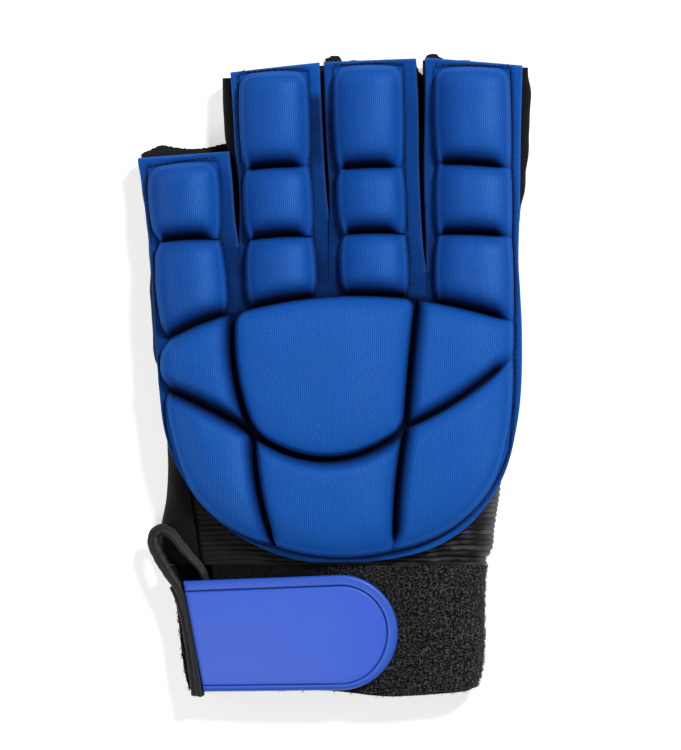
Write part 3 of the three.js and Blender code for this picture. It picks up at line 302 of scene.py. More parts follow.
# Stage: the view in millimetres, the rest in metres and watts
VIEW = {"centre": (2.1, 7.0), "height": 210.0, "plane": 20.0}
SENSOR_WIDTH = 36.0
FLOOR = {"reach": 4.0, "points": 5, "drop": 0.0001}
WORLD_LIGHT = 0.10
LIGHTS = {
    "key_light": {"x": 0.60, "y": 0.78, "elevation": 52, "distance": 1.6, "size": 0.30, "power": 18},
    "fill_light": {"x": -0.85, "y": 0.1, "elevation": 40, "distance": 1.8, "size": 1.2, "power": 2.6},
    "top_light": {"x": -0.45, "y": -0.6, "elevation": 66, "distance": 1.2, "size": 0.6, "power": 3.4},
}


# Sizes and colours that a user would change
def length_property(name, description, default, low, high):
    return bpy.props.FloatProperty(
        name=name, description=description, default=default, min=low, max=high, unit="LENGTH")


class GloveSizes(bpy.types.PropertyGroup):
    weave_pitch: length_property(
        "Weave pitch", "Distance between two wales of the foam's knit cover", 0.00052, 0.0003, 0.003)
    stitch_pitch: length_property(
        "Stitch pitch", "Distance from one stitch to the next", 0.00185, 0.0008, 0.006)
    stitch_length: length_property(
        "Stitch length", "Length of thread that shows in one stitch", 0.00150, 0.0005, 0.005)
    stitch_radius: length_property(
        "Thread radius", "Radius of the sewing thread", 0.00017, 0.0001, 0.001)
    rib_pitch: length_property(
        "Rib pitch", "Distance between two ribs of the elastic panel", 0.00146, 0.001, 0.004)
    rib_depth: length_property(
        "Rib depth", "Half the height of a rib over the furrow beside it", 0.00030, 0.0, 0.001)
    binding_radius: length_property(
        "Binding radius", "Radius of the roll round the slit", 0.00135, 0.0006, 0.003)
    pile_length: length_property(
        "Pile length", "Reach of one loop of the wrist band's pile", 0.0010, 0.0002, 0.004)
    camera_height: length_property(
        "Camera height", "Height of the camera over the floor", 3.0, 0.5, 10.0)


def colour_property(name, description, default):
    return bpy.props.FloatVectorProperty(
        name=name, description=description, default=default, subtype="COLOR", size=3, min=0.0, max=1.0)


class GloveColours(bpy.types.PropertyGroup):
    foam: colour_property("Foam cover", "Knit cover of the foam pads", (0.0055, 0.1400, 0.6400))
    # foam_deep is also the base colour of the painted shade in grooves, at pad feet and on the finger pads
    foam_deep: colour_property("Foam cover, deep", "The cover between its threads", (0.0010, 0.0300, 0.2200))
    strap: colour_property("Strap", "Moulded rubber of the closing strap", (0.0390, 0.1300, 0.7600))
    cloth: colour_property("Side cloth", "Smooth cloth of the sides and gussets", (0.0032, 0.0030, 0.0040))
    ribs: colour_property("Rib cloth", "Elastic cloth of the ribbed panel", (0.0028, 0.0026, 0.0032))
    pile: colour_property("Loop pile", "Loop pile of the wrist band", (0.0065, 0.0062, 0.0066))
    palm: colour_property("Palm suede", "Suede of the palm", (0.0120, 0.0120, 0.0135))
    binding: colour_property("Binding", "Satin vinyl of the bindings", (0.0095, 0.0093, 0.0102))
    thread: colour_property("Thread", "Sewing thread", (0.0045, 0.0038, 0.0060))
    floor: colour_property("Floor", "Studio floor", (0.8800, 0.8800, 0.8800))


# Reading of the tables
def read(table, column, y):
    ys = np.array(table["y"], float)
    values = np.array(table[column], float)
    slopes = np.diff(values) / np.diff(ys)
    tangents = np.concatenate([slopes[:1], (slopes[:-1] + slopes[1:]) / 2, slopes[-1:]])
    y = np.clip(np.asarray(y, float), ys[0], ys[-1])
    i = np.clip(np.searchsorted(ys, y, side="right") - 1, 0, len(ys) - 2)
    step = ys[i + 1] - ys[i]
    t = (y - ys[i]) / step
    smooth = t * t * (3 - 2 * t) * (values[i + 1] - values[i])
    return (values[i] + smooth + t * (1 - t) ** 2 * step * tangents[i]
            - t * t * (1 - t) * step * tangents[i + 1])


def smoothstep(value, low, high):
    t = np.clip((np.asarray(value, float) - low) / (high - low), 0, 1)
    return t * t * (3 - 2 * t)


def slit_edges(slit, y):
    x = read(SLITS[slit], "x", y)
    half = read(SLITS[slit], "gap", y) / 2
    return x - half, x + half


def strip_edges(finger, y):
    y = np.asarray(y, float)
    left = read(LEFT_EDGE, "x", y)
    right = read(RIGHT_EDGE, "x", y)
    start_left = read(LEFT_EDGE, "x", FINGER_ARCH_START_Y)
    start_right = read(RIGHT_EDGE, "x", FINGER_ARCH_START_Y)

    def inner(slit, side):
        web_x = SLITS[slit]["x"][0]
        web_y = SLITS[slit]["y"][0]
        shared = left + (web_x - start_left) / (start_right - start_left) * (right - left)
        t = np.clip((y - FINGER_ARCH_START_Y) / (web_y - FINGER_ARCH_START_Y), 0, 1)
        below = np.where(y <= FINGER_ARCH_START_Y, shared, shared + (web_x - shared) * t)
        return np.where(y >= web_y, slit_edges(slit, y)[side], below)

    return (left if finger == 0 else inner(finger - 1, 1)), (right if finger == 3 else inner(finger, 0))


def back_z(x, y, finger=None):
    """Height of the foam panel's underside."""
    x, y = np.broadcast_arrays(np.asarray(x, float), np.asarray(y, float))
    across = (x - ARCH_CROWN_X) / ARCH_REACH
    z = read(ARCH, "height", y) - read(ARCH, "drop", y) * across ** 2
    if finger is None:
        return z
    share = smoothstep(y, FINGER_ARCH_START_Y, FINGER_ARCH_FULL_Y)
    left, right = strip_edges(finger, y)
    off = (2 * x - left - right) / (right - left)
    return z - share * (FINGER_ARCH * off ** 2 - FINGERS[finger]["lean"] * (x - (left + right) / 2))


def off_back(x, y, height, finger=None):
    """Points at some height off the back, along the normal of the hand's arch."""
    step = 0.5
    dx = (back_z(x + step, y) - back_z(x - step, y)) / (2 * step)
    dy = (back_z(x, y + step) - back_z(x, y - step)) / (2 * step)
    length = np.sqrt(dx * dx + dy * dy + 1)
    z = back_z(x, y, finger)
    return np.stack([x - dx / length * height, y - dy / length * height, z + height / length], -1)


def ripple(x, y, wave, seed=0.0):
    """Smooth uneven field between about -1 and 1, for a worn or hand-sewn look."""
    k = 2 * math.pi / wave
    return (np.sin(k * x + 1.3 * seed + 0.8 * np.sin(k * 0.61 * y + seed))
            + np.sin(k * 0.83 * y + 2.1 * seed + 0.9 * np.sin(k * 0.57 * x - seed))
            + np.sin(k * 0.71 * (x + y) + 0.7 * seed)) / 3


def uneven(kind, x, y, seed=0.0):
    height, wave, own_seed = UNEVEN[kind]
    return height * ripple(x, y, wave, own_seed + seed)


# Meshes
class Part:
    """Points in millimetres with their faces, and values that materials read."""

    def __init__(self, points, faces, slot=0, **values):
        self.points = np.asarray(points, float).reshape(-1, 3)
        self.faces = [np.asarray(shape, int) for shape in faces if len(shape)]
        self.slot = slot
        self.values = {name: np.asarray(value, float).ravel() for name, value in values.items()}


def add_piece(name, parts, materials, sharp_deg=None):
    """A mesh object made of parts, in metres, that rides on the glove's one body."""
    points = np.vstack([part.points for part in parts]) * MM
    faces, slots, base = [], [], 0
    for part in parts:
        for shape in part.faces:
            faces.extend((shape + base).tolist())
            slots.extend([part.slot] * len(shape))
        base += len(part.points)
    mesh = bpy.data.meshes.new(name)
    mesh.from_pydata(points.tolist(), [], faces)
    mesh.polygons.foreach_set("use_smooth", [True] * len(faces))
    mesh.polygons.foreach_set("material_index", slots)
    for key in sorted({key for part in parts for key in part.values}):
        data = np.concatenate([part.values.get(key, np.zeros(len(part.points))) for part in parts])
        layer = mesh.attributes.new(key, "FLOAT", "POINT")
        layer.data.foreach_set("value", data.astype(np.float32))
    for material in materials:
        mesh.materials.append(material)
    mesh.validate()
    if sharp_deg:
        mesh.set_sharp_from_angle(angle=math.radians(sharp_deg))
    mesh.update()
    piece = bpy.data.objects.new(name, mesh)
    bpy.context.scene.collection.objects.link(piece)
    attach(piece, "root")
    return piece


def grid_quads(rows, columns, base=0, wrap=False):
    index = base + np.arange(rows * columns).reshape(rows, columns)
    after = np.roll(index, -1, axis=1) if wrap else index[:, 1:]
    here = index if wrap else index[:, :-1]
    return np.stack([here[:-1], after[:-1], after[1:], here[1:]], -1).reshape(-1, 4)


def facing_out(part):
    volume = 0.0
    for shape in part.faces:
        for k in range(1, shape.shape[1] - 1):
            a, b, c = (part.points[shape[:, j]] for j in (0, k, k + 1))
            volume += np.einsum("ij,ij->i", a, np.cross(b, c)).sum()
    if volume < 0:
        part.faces = [shape[:, ::-1] for shape in part.faces]
    return part


def without_doubles(quads):
    """Whole quads, and a triangle for each quad that has one corner twice."""
    same = quads == np.roll(quads, -1, axis=1)
    whole = quads[~same.any(axis=1)]
    single = same.sum(axis=1) == 1
    triangles = quads[single][~same[single]].reshape(-1, 3)
    return whole, triangles


def closed_sheet(grids, inner_slot=None, **values):
    """A closed sheet from grids of outer and inner points. Grids that share points are joined."""
    outer = np.vstack([grid[0].reshape(-1, 3) for grid in grids])
    inner = np.vstack([grid[1].reshape(-1, 3) for grid in grids])
    quads, base = [], 0
    for grid in grids:
        rows, columns = grid[0].shape[:2]
        quads.append(grid_quads(rows, columns, base))
        base += rows * columns
    keys = np.round(outer * 500).astype(np.int64)
    _, first, place = np.unique(keys, axis=0, return_index=True, return_inverse=True)
    quads = place.reshape(-1)[np.vstack(quads)]
    outer, inner, count = outer[first], inner[first], len(first)
    here, after = quads.ravel(), np.roll(quads, -1, axis=1).ravel()
    open_edge = ~np.isin(here * count + after, after * count + here) & (here != after)
    a, b = here[open_edge], after[open_edge]
    walls = np.stack([b, a, a + count, b + count], -1)
    quads, triangles = without_doubles(quads)
    doubled = {name: np.tile(np.asarray(value, float).ravel()[first], 2) for name, value in values.items()}
    faces = [quads, quads[:, ::-1] + count, walls, triangles, triangles[:, ::-1] + count]
    part = facing_out(Part(np.vstack([outer, inner]), faces, **doubled))
    if inner_slot is None:
        return [part]
    top, bottom, side = part.faces[:3]
    upper = Part(part.points, [top, side], 0, **doubled)
    lower = Part(part.points, [bottom], inner_slot, **doubled)
    return [upper, lower]


def normals_of(middle):
    return unit(np.cross(np.gradient(middle, axis=0), np.gradient(middle, axis=1)), 1e-9)


def thicken(middle, thickness):
    normal = normals_of(middle)
    return middle + normal * thickness / 2, middle - normal * thickness / 2


def unit(vectors, least=0.0):
    """Vectors of length one, along the last axis."""
    length = np.linalg.norm(vectors, axis=-1, keepdims=True)
    return vectors / (np.maximum(length, least) if least else length)


def run_along(line):
    """Length of a line up to each of its points."""
    return np.concatenate([[0], np.cumsum(np.linalg.norm(np.diff(line, axis=0), axis=1))])


def curve_through(points, count, closed=False):
    """Evenly spaced points on the centripetal curve through some points."""
    points = np.array(points, float)
    if closed:
        ring = np.vstack([points[-1:], points, points[:2]])
    else:
        ring = np.vstack([2 * points[0] - points[1], points, 2 * points[-1] - points[-2]])
    dense = []
    for p0, p1, p2, p3 in zip(ring, ring[1:], ring[2:], ring[3:]):
        gaps = [max(np.linalg.norm(b - a), 1e-6) ** 0.5 for a, b in ((p0, p1), (p1, p2), (p2, p3))]
        t0, t1 = 0.0, gaps[0]
        t2 = t1 + gaps[1]
        t3 = t2 + gaps[2]
        t = np.linspace(t1, t2, 24, endpoint=False)[:, None]
        a1 = (t1 - t) / (t1 - t0) * p0 + (t - t0) / (t1 - t0) * p1
        a2 = (t2 - t) / (t2 - t1) * p1 + (t - t1) / (t2 - t1) * p2
        a3 = (t3 - t) / (t3 - t2) * p2 + (t - t2) / (t3 - t2) * p3
        b1 = (t2 - t) / (t2 - t0) * a1 + (t - t0) / (t2 - t0) * a2
        b2 = (t3 - t) / (t3 - t1) * a2 + (t - t1) / (t3 - t1) * a3
        dense.append((t2 - t) / (t2 - t1) * b1 + (t - t1) / (t2 - t1) * b2)
    dense = np.vstack(dense + [points[:1] if closed else points[-1:]])
    return spaced(dense, count + 1)[:-1] if closed else spaced(dense, count)


def spaced(line, count):
    line = np.asarray(line, float)
    run = run_along(line)
    marks = np.linspace(0, run[-1], count)
    return np.stack([np.interp(marks, run, line[:, k]) for k in range(line.shape[1])], -1)


def tube(path, radii, sides=14, closed=False, flat=1.0, fold=0.0):
    """A round or flattened roll along a path, with a radius for each point and a fold along its top."""
    path = np.asarray(path, float)
    count = len(path)
    radii = np.broadcast_to(np.asarray(radii, float), (count,))
    if closed:
        along = np.roll(path, -1, axis=0) - np.roll(path, 1, axis=0)
    else:
        along = np.gradient(path, axis=0)
    along = unit(along)
    side = np.cross(along, [0.0, 0.0, 1.0])
    weak = np.linalg.norm(side, axis=1) < 0.15
    side[weak] = np.cross(along[weak], [0.0, 1.0, 0.0])
    for i in range(1, count):
        if side[i] @ side[i - 1] < 0:
            side[i] = -side[i]
    side = unit(side)
    up = np.cross(side, along)
    angle = np.linspace(0, 2 * math.pi, sides, endpoint=False)
    dent = 1 - fold * np.exp(-((angle - 1.9) / 0.3) ** 2)
    ring = (side[:, None] * (np.cos(angle) * dent)[None, :, None]
            + up[:, None] * (np.sin(angle) * dent)[None, :, None] * flat)
    points = path[:, None] + ring * radii[:, None, None]
    faces = [grid_quads(count, sides, wrap=True)]
    points = points.reshape(-1, 3)
    if closed:
        last = (count - 1) * sides + np.arange(sides)
        first = np.arange(sides)
        faces.append(np.stack([last, np.roll(last, -1), np.roll(first, -1), first], -1))
    else:
        caps = np.vstack([path[0] - along[0] * radii[0] * 0.4, path[-1] + along[-1] * radii[-1] * 0.4])
        start, end = len(points), len(points) + 1
        points = np.vstack([points, caps])
        first = np.arange(sides)
        last = (count - 1) * sides + first
        faces.append(np.stack([np.full(sides, start), np.roll(first, -1), first], -1))
        faces.append(np.stack([np.full(sides, end), last, np.roll(last, -1)], -1))
    turn = np.append(np.tile(angle, count), [] if closed else [0.0, 0.0])
    # Two bands along the roll's top, either side of its fold, that take the painted highlight
    edge = np.exp(-((turn - 2.75) / 0.22) ** 2) + np.exp(-((turn - 1.3) / 0.2) ** 2)
    return facing_out(Part(points, faces, edge=edge))


def stitches(line, normals, sizes):
    """A run of stitches along a line that lies on a surface."""
    pitch = sizes.stitch_pitch / MM
    length = sizes.stitch_length / MM
    radius = sizes.stitch_radius / MM
    count = max(int(run_along(line)[-1] / pitch), 2)
    marks = spaced(np.hstack([line, normals]), count * 2 + 1)[1::2]
    place, up = marks[:, :3], marks[:, 3:]
    along = unit(np.gradient(place, axis=0))
    side = unit(np.cross(along, up))
    up = unit(np.cross(side, along))
    up *= np.sign(np.einsum("ij,ij->i", up, marks[:, 3:]))[:, None]
    wobble = 1 + 0.10 * np.sin(np.arange(len(place)) * 2.3)
    shape_t, shape_r, shape_z = (np.array(STITCH_SHAPE[key]) for key in ("along", "radius", "height"))
    angle = np.linspace(0, FULL_TURN, STITCH_SIDES, endpoint=False)
    rings = (along[:, None, None] * (shape_t * length / 2)[None, :, None, None] * wobble[:, None, None, None]
             + up[:, None, None] * ((shape_z * radius)[None, :, None] - STITCH_SINK)[..., None]
             + side[:, None, None] * (shape_r[:, None] * np.cos(angle) * radius)[None, ..., None]
             + up[:, None, None] * (shape_r[:, None] * np.sin(angle) * radius)[None, ..., None])
    return tube_copies(place[:, None, None] + rings)


def tube_copies(points):
    """One part from many open tubes, given by tube, ring and side."""
    count, rings, sides = points.shape[:3]
    one = grid_quads(rings, sides, wrap=True)
    faces = (one[None] + (np.arange(count) * rings * sides)[:, None, None]).reshape(-1, 4)
    return Part(points.reshape(-1, 3), [faces])


# Foam pads
def inside_edge(x, y, edge):
    """Distance inside an edge that bows to its left, with the pad on the edge's left."""
    (ax, ay), (bx, by), bow = edge["a"], edge["b"], edge["bow"]
    length = math.hypot(bx - ax, by - ay)
    ux, uy = (bx - ax) / length, (by - ay) / length
    along = (ux * (x - ax) + uy * (y - ay)) / length
    t = np.clip(along, 0, 1)
    slope = 4 * bow * (1 - 2 * t) / length
    sag = 4 * bow * t * (1 - t) + slope * (along - t) * length
    inside = (ux * (y - ay) - uy * (x - ax) - sag) / np.sqrt(1 + slope ** 2)
    for (px, py), depth in zip((edge["a"], edge["b"]), edge.get("notches", (0, 0))):
        if depth:
            inside = inside - depth * np.exp(-((x - px) ** 2 + (y - py) ** 2) / NOTCH_WIDTH ** 2)
    return inside


def bow_between(start, end):
    return BOWS[(start, end)] if (start, end) in BOWS else -BOWS[(end, start)]


def junction(name):
    x, y = JUNCTIONS[name]
    return [x, y + (KNUCKLE_SHIFT_Y if name.startswith("knuckle") else 0)]


def hand_edge(start, end):
    return {"a": junction(start), "b": junction(end), "bow": bow_between(start, end)}


def finger_pads():
    pads = []
    for finger, column in enumerate(FINGER_COLUMNS):
        left, right = column["left"], column["right"]
        last = len(left) - 2
        for i in range(last + 1):
            deep, shallow = column["notch"], column["right_notch"]
            at_tip = i == 0
            edges = [
                {"a": left[i], "b": left[i + 1], "bow": -column["bow"], "outer": True,
                 "fade": LEFT_FADE, "notches": (0 if at_tip else deep, deep)},
                {"a": left[i + 1], "b": right[i + 1], "bow": GROOVE_BULGE, "roll": FINGER_ROLLS["bottom"]},
                {"a": right[i + 1], "b": right[i], "bow": -column["bow"] * 0.6, "outer": True,
                 "fade": 1.0, "notches": (shallow, 0 if at_tip else shallow)},
                {"a": right[i], "b": left[i], "bow": -0.7 if at_tip else -GROOVE_BULGE,
                 "roll": FINGER_ROLLS["top"]},
            ]
            if at_tip:
                edges[3]["outer"] = True
                edges[3]["run"] = TIP_CROWN_RUN
            if i == last:
                edges[1] = {**hand_edge(*column["knuckle"]), "roll": FINGER_ROLLS["knuckle"]}
                edges[2]["fade"] = 1.0 if finger == 3 else 0.0
                edges[0]["fade"] = 0.0
            pads.append({"finger": finger, "edges": edges, "crown": FINGER_CROWN,
                         "shine": 1.0, "shade": FINGER_SHADES[finger],
                         "corners": [left[i], left[i + 1], right[i + 1], right[i]]})
    return pads


def hand_pads():
    pads = []
    for pad in HAND_PADS:
        corners = pad["corners"]
        edges = []
        for i, start in enumerate(corners):
            end = corners[(i + 1) % len(corners)]
            edge = hand_edge(start, end)
            roll = pad["rolls"][i]
            if roll:
                edge["roll"] = roll
            else:
                edge["outer"] = True
                is_left = "OuterLeft" in start or "OuterLeft" in end
                edge["fade"] = 0.0 if is_left else 1.0
                depth = 0.6 if is_left else 0.0
                edge["notches"] = tuple(depth if "waistOuter" in n or "knuckleOuter" in n else 0
                                        for n in (start, end))
            edges.append(edge)
        pads.append({"finger": None, "edges": edges, "crown": pad["crown"], "shine": pad.get("shine", 0.2),
                     "corners": [junction(name) for name in corners]})
    return pads


def rounded(share, power):
    rest = 1 - np.clip(share, 0, 1)
    return (1 - rest ** power) ** (1 / power)


def inside_all(distances, corner):
    """Distance inside several edges, with the corners between them rounded."""
    short = np.sqrt(sum(np.maximum(corner - d, 0) ** 2 for d in distances))
    beyond = np.min([np.maximum(d - corner, 0) for d in distances], axis=0)
    return corner - short + beyond


def pad_height(pad, x, y):
    """Height of a pad's cover over the flange, and what its colour reads: painted rim highlight, painted
    groove shade and crest.
    """
    inside = [inside_edge(x, y, edge) for edge in pad["edges"]]
    outer = [d for d, edge in zip(inside, pad["edges"]) if edge.get("outer")]
    depth_in = inside_all(outer, PAD_WALL["corner"]) if outer else np.full_like(x, CROWN_RUN)
    wall = rounded(depth_in / PAD_WALL["run"], PAD_WALL["power"])
    crown, pillow = np.ones_like(x), np.ones_like(x)
    for d, edge in zip(inside, pad["edges"]):
        dome = 1 - (1 - np.clip(d / edge.get("run", CROWN_RUN), 0, 1)) ** 2
        pillow = pillow * dome
        if edge.get("outer"):
            crown = crown * dome
    height = PAD_WALL["height"] * wall + pad["crown"] * crown
    fade, taper = np.zeros_like(x), np.ones_like(x)
    for d, edge in zip(inside, pad["edges"]):
        reach = edge.get("fade")
        if reach:
            near = 1 - smoothstep(d, FADE["start"] * reach, FADE["end"] * reach)
            fade = np.maximum(fade, FADE["share"] * near)
            tapered = smoothstep(d, FADE["start"] * reach, FADE["taper"] * reach)
            taper = np.minimum(taper, FADE["least"] + (1 - FADE["least"]) * tapered)
    groove, shade = np.ones_like(x), np.zeros_like(x)
    grooves = [(d, edge["roll"]) for d, edge in zip(inside, pad["edges"])
               if "roll" in edge and not edge.get("outer")]
    lips = [(d, roll) for d, roll in grooves if roll < LIP_LIMIT]
    rolls = [(d, roll) for d, roll in grooves if roll >= LIP_LIMIT]
    if lips:
        rolls.append((inside_all([d for d, roll in lips], LIP_CORNER),
                      sum(roll for d, roll in lips) / len(lips)))
    for d, roll in rolls:
        side = "lip" if roll < LIP_LIMIT else "slope"
        foot = GROOVE_FLOOR[side] * taper
        groove = groove * rounded((d - foot) / roll, GROOVE_POWER)
        t = np.clip((d - foot * 0.8) / (GROOVE_SHADE[side] * roll), 0, 1)
        shade = np.maximum(shade, (1 - t) ** 2)
    nearest = np.min(inside, axis=0)
    pillow = 1 - PILLOW_SHARE * (1 - pillow)
    rise = height * pillow * (fade + (1 - fade) * groove) + uneven("pad", x, y) * wall * groove
    is_outer = np.zeros_like(x)
    for d, edge in zip(inside, pad["edges"]):
        if edge.get("outer"):
            is_outer = np.maximum(is_outer, 1 - smoothstep(d, 0.0, 0.12))
    rise = np.maximum(rise, GROOVE_BED * (1 - is_outer) - OUTER_BED * is_outer)
    # Painted highlight along the wall's top, partly the lighter stretched cover
    rim = np.exp(-((depth_in - PAD_RIM["inset"]) / PAD_RIM["width"]) ** 2) * groove
    # Painted shade in the grooves, faded out towards the outer edges
    low = shade * (1 - fade)
    # crest: the crown away from the painted groove shade, where the painted highlight dots go
    crest = smoothstep(nearest, PAD_CREST["start"], PAD_CREST["full"]) * (1 - shade)
    return rise, rim, low, crest


def pad_cover(pad, x, y):
    """How far inside a pad's outer edges and over its grooves a point lies."""
    low = np.min(pad["corners"], axis=0) - COVER_REACH
    high = np.max(pad["corners"], axis=0) + COVER_REACH
    distances = [x - low[0], high[0] - x, y - low[1], high[1] - y]
    for edge in pad["edges"]:
        d = inside_edge(x, y, edge)
        distances.append(d if edge.get("outer") else d + 0.8)
    return np.min(np.broadcast_arrays(*distances), axis=0)


def pad_part(pad):
    corners = np.array(pad["corners"], float)
    cx, cy = corners.mean(axis=0)
    targets = []
    for a, b in zip(corners, np.roll(corners, -1, axis=0)):
        count = max(int(np.linalg.norm(b - a) / PAD_SAMPLE), 4)
        targets.append(a + (b - a) * np.linspace(0, 1, count, endpoint=False)[:, None])
    way = unit(np.vstack(targets) - (cx, cy))

    def sharp(x, y):
        return np.min([inside_edge(x, y, edge) for edge in pad["edges"]], axis=0)

    def share(x, y):
        total = sum(np.maximum(1 - inside_edge(x, y, edge) / RING_RUN, 0) ** 7 for edge in pad["edges"])
        return RING_RUN * (1 - total ** (1 / 7))

    def reach(field, level):
        near, far = np.zeros(len(way)), np.full(len(way), 60.0)
        for _ in range(22):
            middle = (near + far) / 2
            is_in = field(cx + way[:, 0] * middle, cy + way[:, 1] * middle) > level
            near, far = np.where(is_in, middle, near), np.where(is_in, far, middle)
        return near

    rings = [reach(sharp, 0.0)] + [reach(share, distance) for distance in RING_DISTANCES]
    steps = max(int(rings[-1].mean() / INNER_RING_STEP), 3)
    rings += [rings[-1] * (1 - i / steps) for i in range(1, steps)]
    reaches = np.array(rings)
    x = cx + way[None, :, 0] * reaches
    y = cy + way[None, :, 1] * reaches
    rise, rim, low, crest = pad_height(pad, x, y)
    points = np.stack([x, y, back_z(x, y, pad["finger"]) + FLANGE_THICK + rise], -1)
    middle = [float(value[0]) for value in pad_height(pad, np.array([cx]), np.array([cy]))]
    centre = [[cx, cy, float(back_z(cx, cy, pad["finger"])) + FLANGE_THICK + middle[0]]]
    count, rows = len(way), len(reaches)
    last = (rows - 1) * count + np.arange(count)
    faces = [grid_quads(rows, count, wrap=True),
             np.stack([np.full(count, rows * count), np.roll(last, -1), last][::-1], -1)]
    wide = (x - corners[:, 0].min()) / np.ptp(corners[:, 0])
    long = (y - corners[:, 1].min()) / np.ptp(corners[:, 1])
    # Painted highlight: a streak down each pad's right part
    shine = pad["shine"] * np.exp(-((wide - PAD_SHINE["place"]) / PAD_SHINE["width"]) ** 2)
    shine = shine * smoothstep(long, 0.05, 0.55) * (1 - smoothstep(long, 0.8, 1.0)) * crest
    # Painted shade: finger pads darker than the hand's, and darker still towards each pad's left side
    tone = 0.0 if pad["finger"] is None else 1.0 + pad["shade"] * (1 - smoothstep(wide, 0.0, 0.45))
    tone = np.append(np.broadcast_to(tone, x.shape).ravel(), 0.0 if pad["finger"] is None else 1.0)
    fields = {"rim": (rim, middle[1]), "low": (low, middle[2]), "crest": (crest, middle[3]),
              "shine": (shine, 0.0)}
    values = {name: np.append(field.ravel(), last_value) for name, (field, last_value) in fields.items()}
    part = Part(np.vstack([points.reshape(-1, 3), centre]), faces, tone=tone, **values)
    a, b, c = (part.points[faces[0][:, k]] for k in (0, 1, 2))
    if np.cross(b - a, c - a)[:, 2].sum() < 0:
        part.faces = [shape[:, ::-1] for shape in part.faces]
    return part


# Foam flange: the thin stitched sheet that the pads stand on
def strip_rows(finger, start, step):
    """Rows of one finger's strip, level up to the fingers and then turning to the fingertip's slant."""
    level = LEVEL_ROWS_Y
    left, right = FINGERS[finger]["tip_left"], FINGERS[finger]["tip_right"]
    rows = [(y, y) for y in list(np.arange(start, level, step)) + [float(level)]]
    count = int((max(left, right) - level) / step)
    for i in range(1, count + 1):
        t = i / count
        rows.append((level + (left - level) * t, level + (right - level) * t))
    for web in (slit["y"][0] for slit in SLITS):
        rows.append((float(web), float(web)))
    return sorted(set(rows))


def flange_shadow(finger, x, y, left, right):
    """How dark the flange is between the pads, from the web to the heel and beside the fingers."""
    shadow = np.ones_like(x)
    if finger == 0:
        shadow = smoothstep(x - left, *KNUCKLE_SHADOW["from_left"])
    elif finger > 1:
        shadow = smoothstep(right - x, *KNUCKLE_SHADOW["from_right"])
    shadow = (KNUCKLE_SHADOW["strength"] * shadow * smoothstep(-y, *KNUCKLE_SHADOW["heel"])
              * smoothstep(y, *KNUCKLE_SHADOW["web"]))
    across = (x - left) / (right - left)
    beside = (read(FLANGE_SHADOW[finger], "left", y) * (1 - smoothstep(across, 0.25, 0.45))
              + read(FLANGE_SHADOW[finger], "right", y) * smoothstep(across, 0.55, 0.75))
    shadow = np.maximum(shadow, beside)
    if finger == 0:
        along = smoothstep(-y, *WAIST_SHADOW["top"]) * smoothstep(y, *WAIST_SHADOW["bottom"])
        at_edge = WAIST_SHADOW["strength"] * (1 - smoothstep(x - left, *WAIST_SHADOW["from_left"]))
        shadow = np.maximum(shadow, at_edge * along)
    return shadow


def flange_grids():
    """Grids of the flange's four strips, how near each point is to a rim, and its painted shade and shadows.
    """
    inner = list(np.linspace(0.075, 0.925, 30))
    shares = np.array(EDGE_SHARES + inner + [1 - s for s in EDGE_SHARES[::-1]])
    pads = finger_pads() + hand_pads()
    grids, rims, painted_shades = [], [], []
    for finger in range(len(FINGERS)):
        rows = strip_rows(finger, FLANGE_END_Y, 1.0)
        tip_rows = [rows[-1][0] - d for d in (0.15, 0.45, 0.9)]
        extra = [(y, y + rows[-1][1] - rows[-1][0]) for y in tip_rows]
        rows = sorted(rows + extra)
        y_left = np.array([row[0] for row in rows])[:, None]
        y_right = np.array([row[1] for row in rows])[:, None]
        left = strip_edges(finger, y_left)[0]
        right = strip_edges(finger, y_right)[1]
        x = left + (right - left) * shares
        y = y_left + (y_right - y_left) * shares
        tip = y_left[-1] + (y_right[-1] - y_left[-1]) * shares
        near = np.minimum(tip - y, 99.0)
        from_left = x - left
        from_right = right - x
        if finger > 0:
            from_left = from_left + np.maximum(SLITS[finger - 1]["y"][0] - y, 0) * 2
        if finger < 3:
            from_right = from_right + np.maximum(SLITS[finger]["y"][0] - y, 0) * 2
        near = np.min([near, from_left, from_right, (y - FLANGE_END_Y) * 1.5], axis=0)
        rounding = rounded(near / FLANGE["round"], 2.0)
        sag = uneven("flange", x, y, finger)
        under = np.max([pad_cover(pad, x, y) for pad in pads], axis=0)
        top = FLANGE_THICK * (0.45 + 0.55 * rounding) + sag * rounding
        top = top - FLANGE["under_pad"] * smoothstep(under, 0.0, 1.6)
        top = top - FLANGE["beside_pad"] * smoothstep(under, -1.3, -0.1)
        grids.append((off_back(x, y, top, finger), off_back(x, y, np.zeros_like(x), finger)))
        # Painted highlight along the flange's rounded cut edge
        rims.append(np.exp(-(near / FLANGE["rim"]) ** 2))
        shadow = flange_shadow(finger, x, y, left, right)
        # Painted shade at the pads' feet, and the painted shadows between and beside the columns
        painted_shades.append(np.maximum(np.exp(-np.maximum(-under - 0.1, 0) / 0.5), shadow))
    return grids, *(np.concatenate([value.ravel() for value in values]) for values in (rims, painted_shades))


def flange_point(line, finger, lift=0.0):
    line = np.asarray(line, float)
    points = off_back(line[:, 0], line[:, 1], np.full(len(line), FLANGE_THICK + lift), finger)
    above = off_back(line[:, 0], line[:, 1], np.full(len(line), FLANGE_THICK + lift + 1), finger)
    return points, above - points


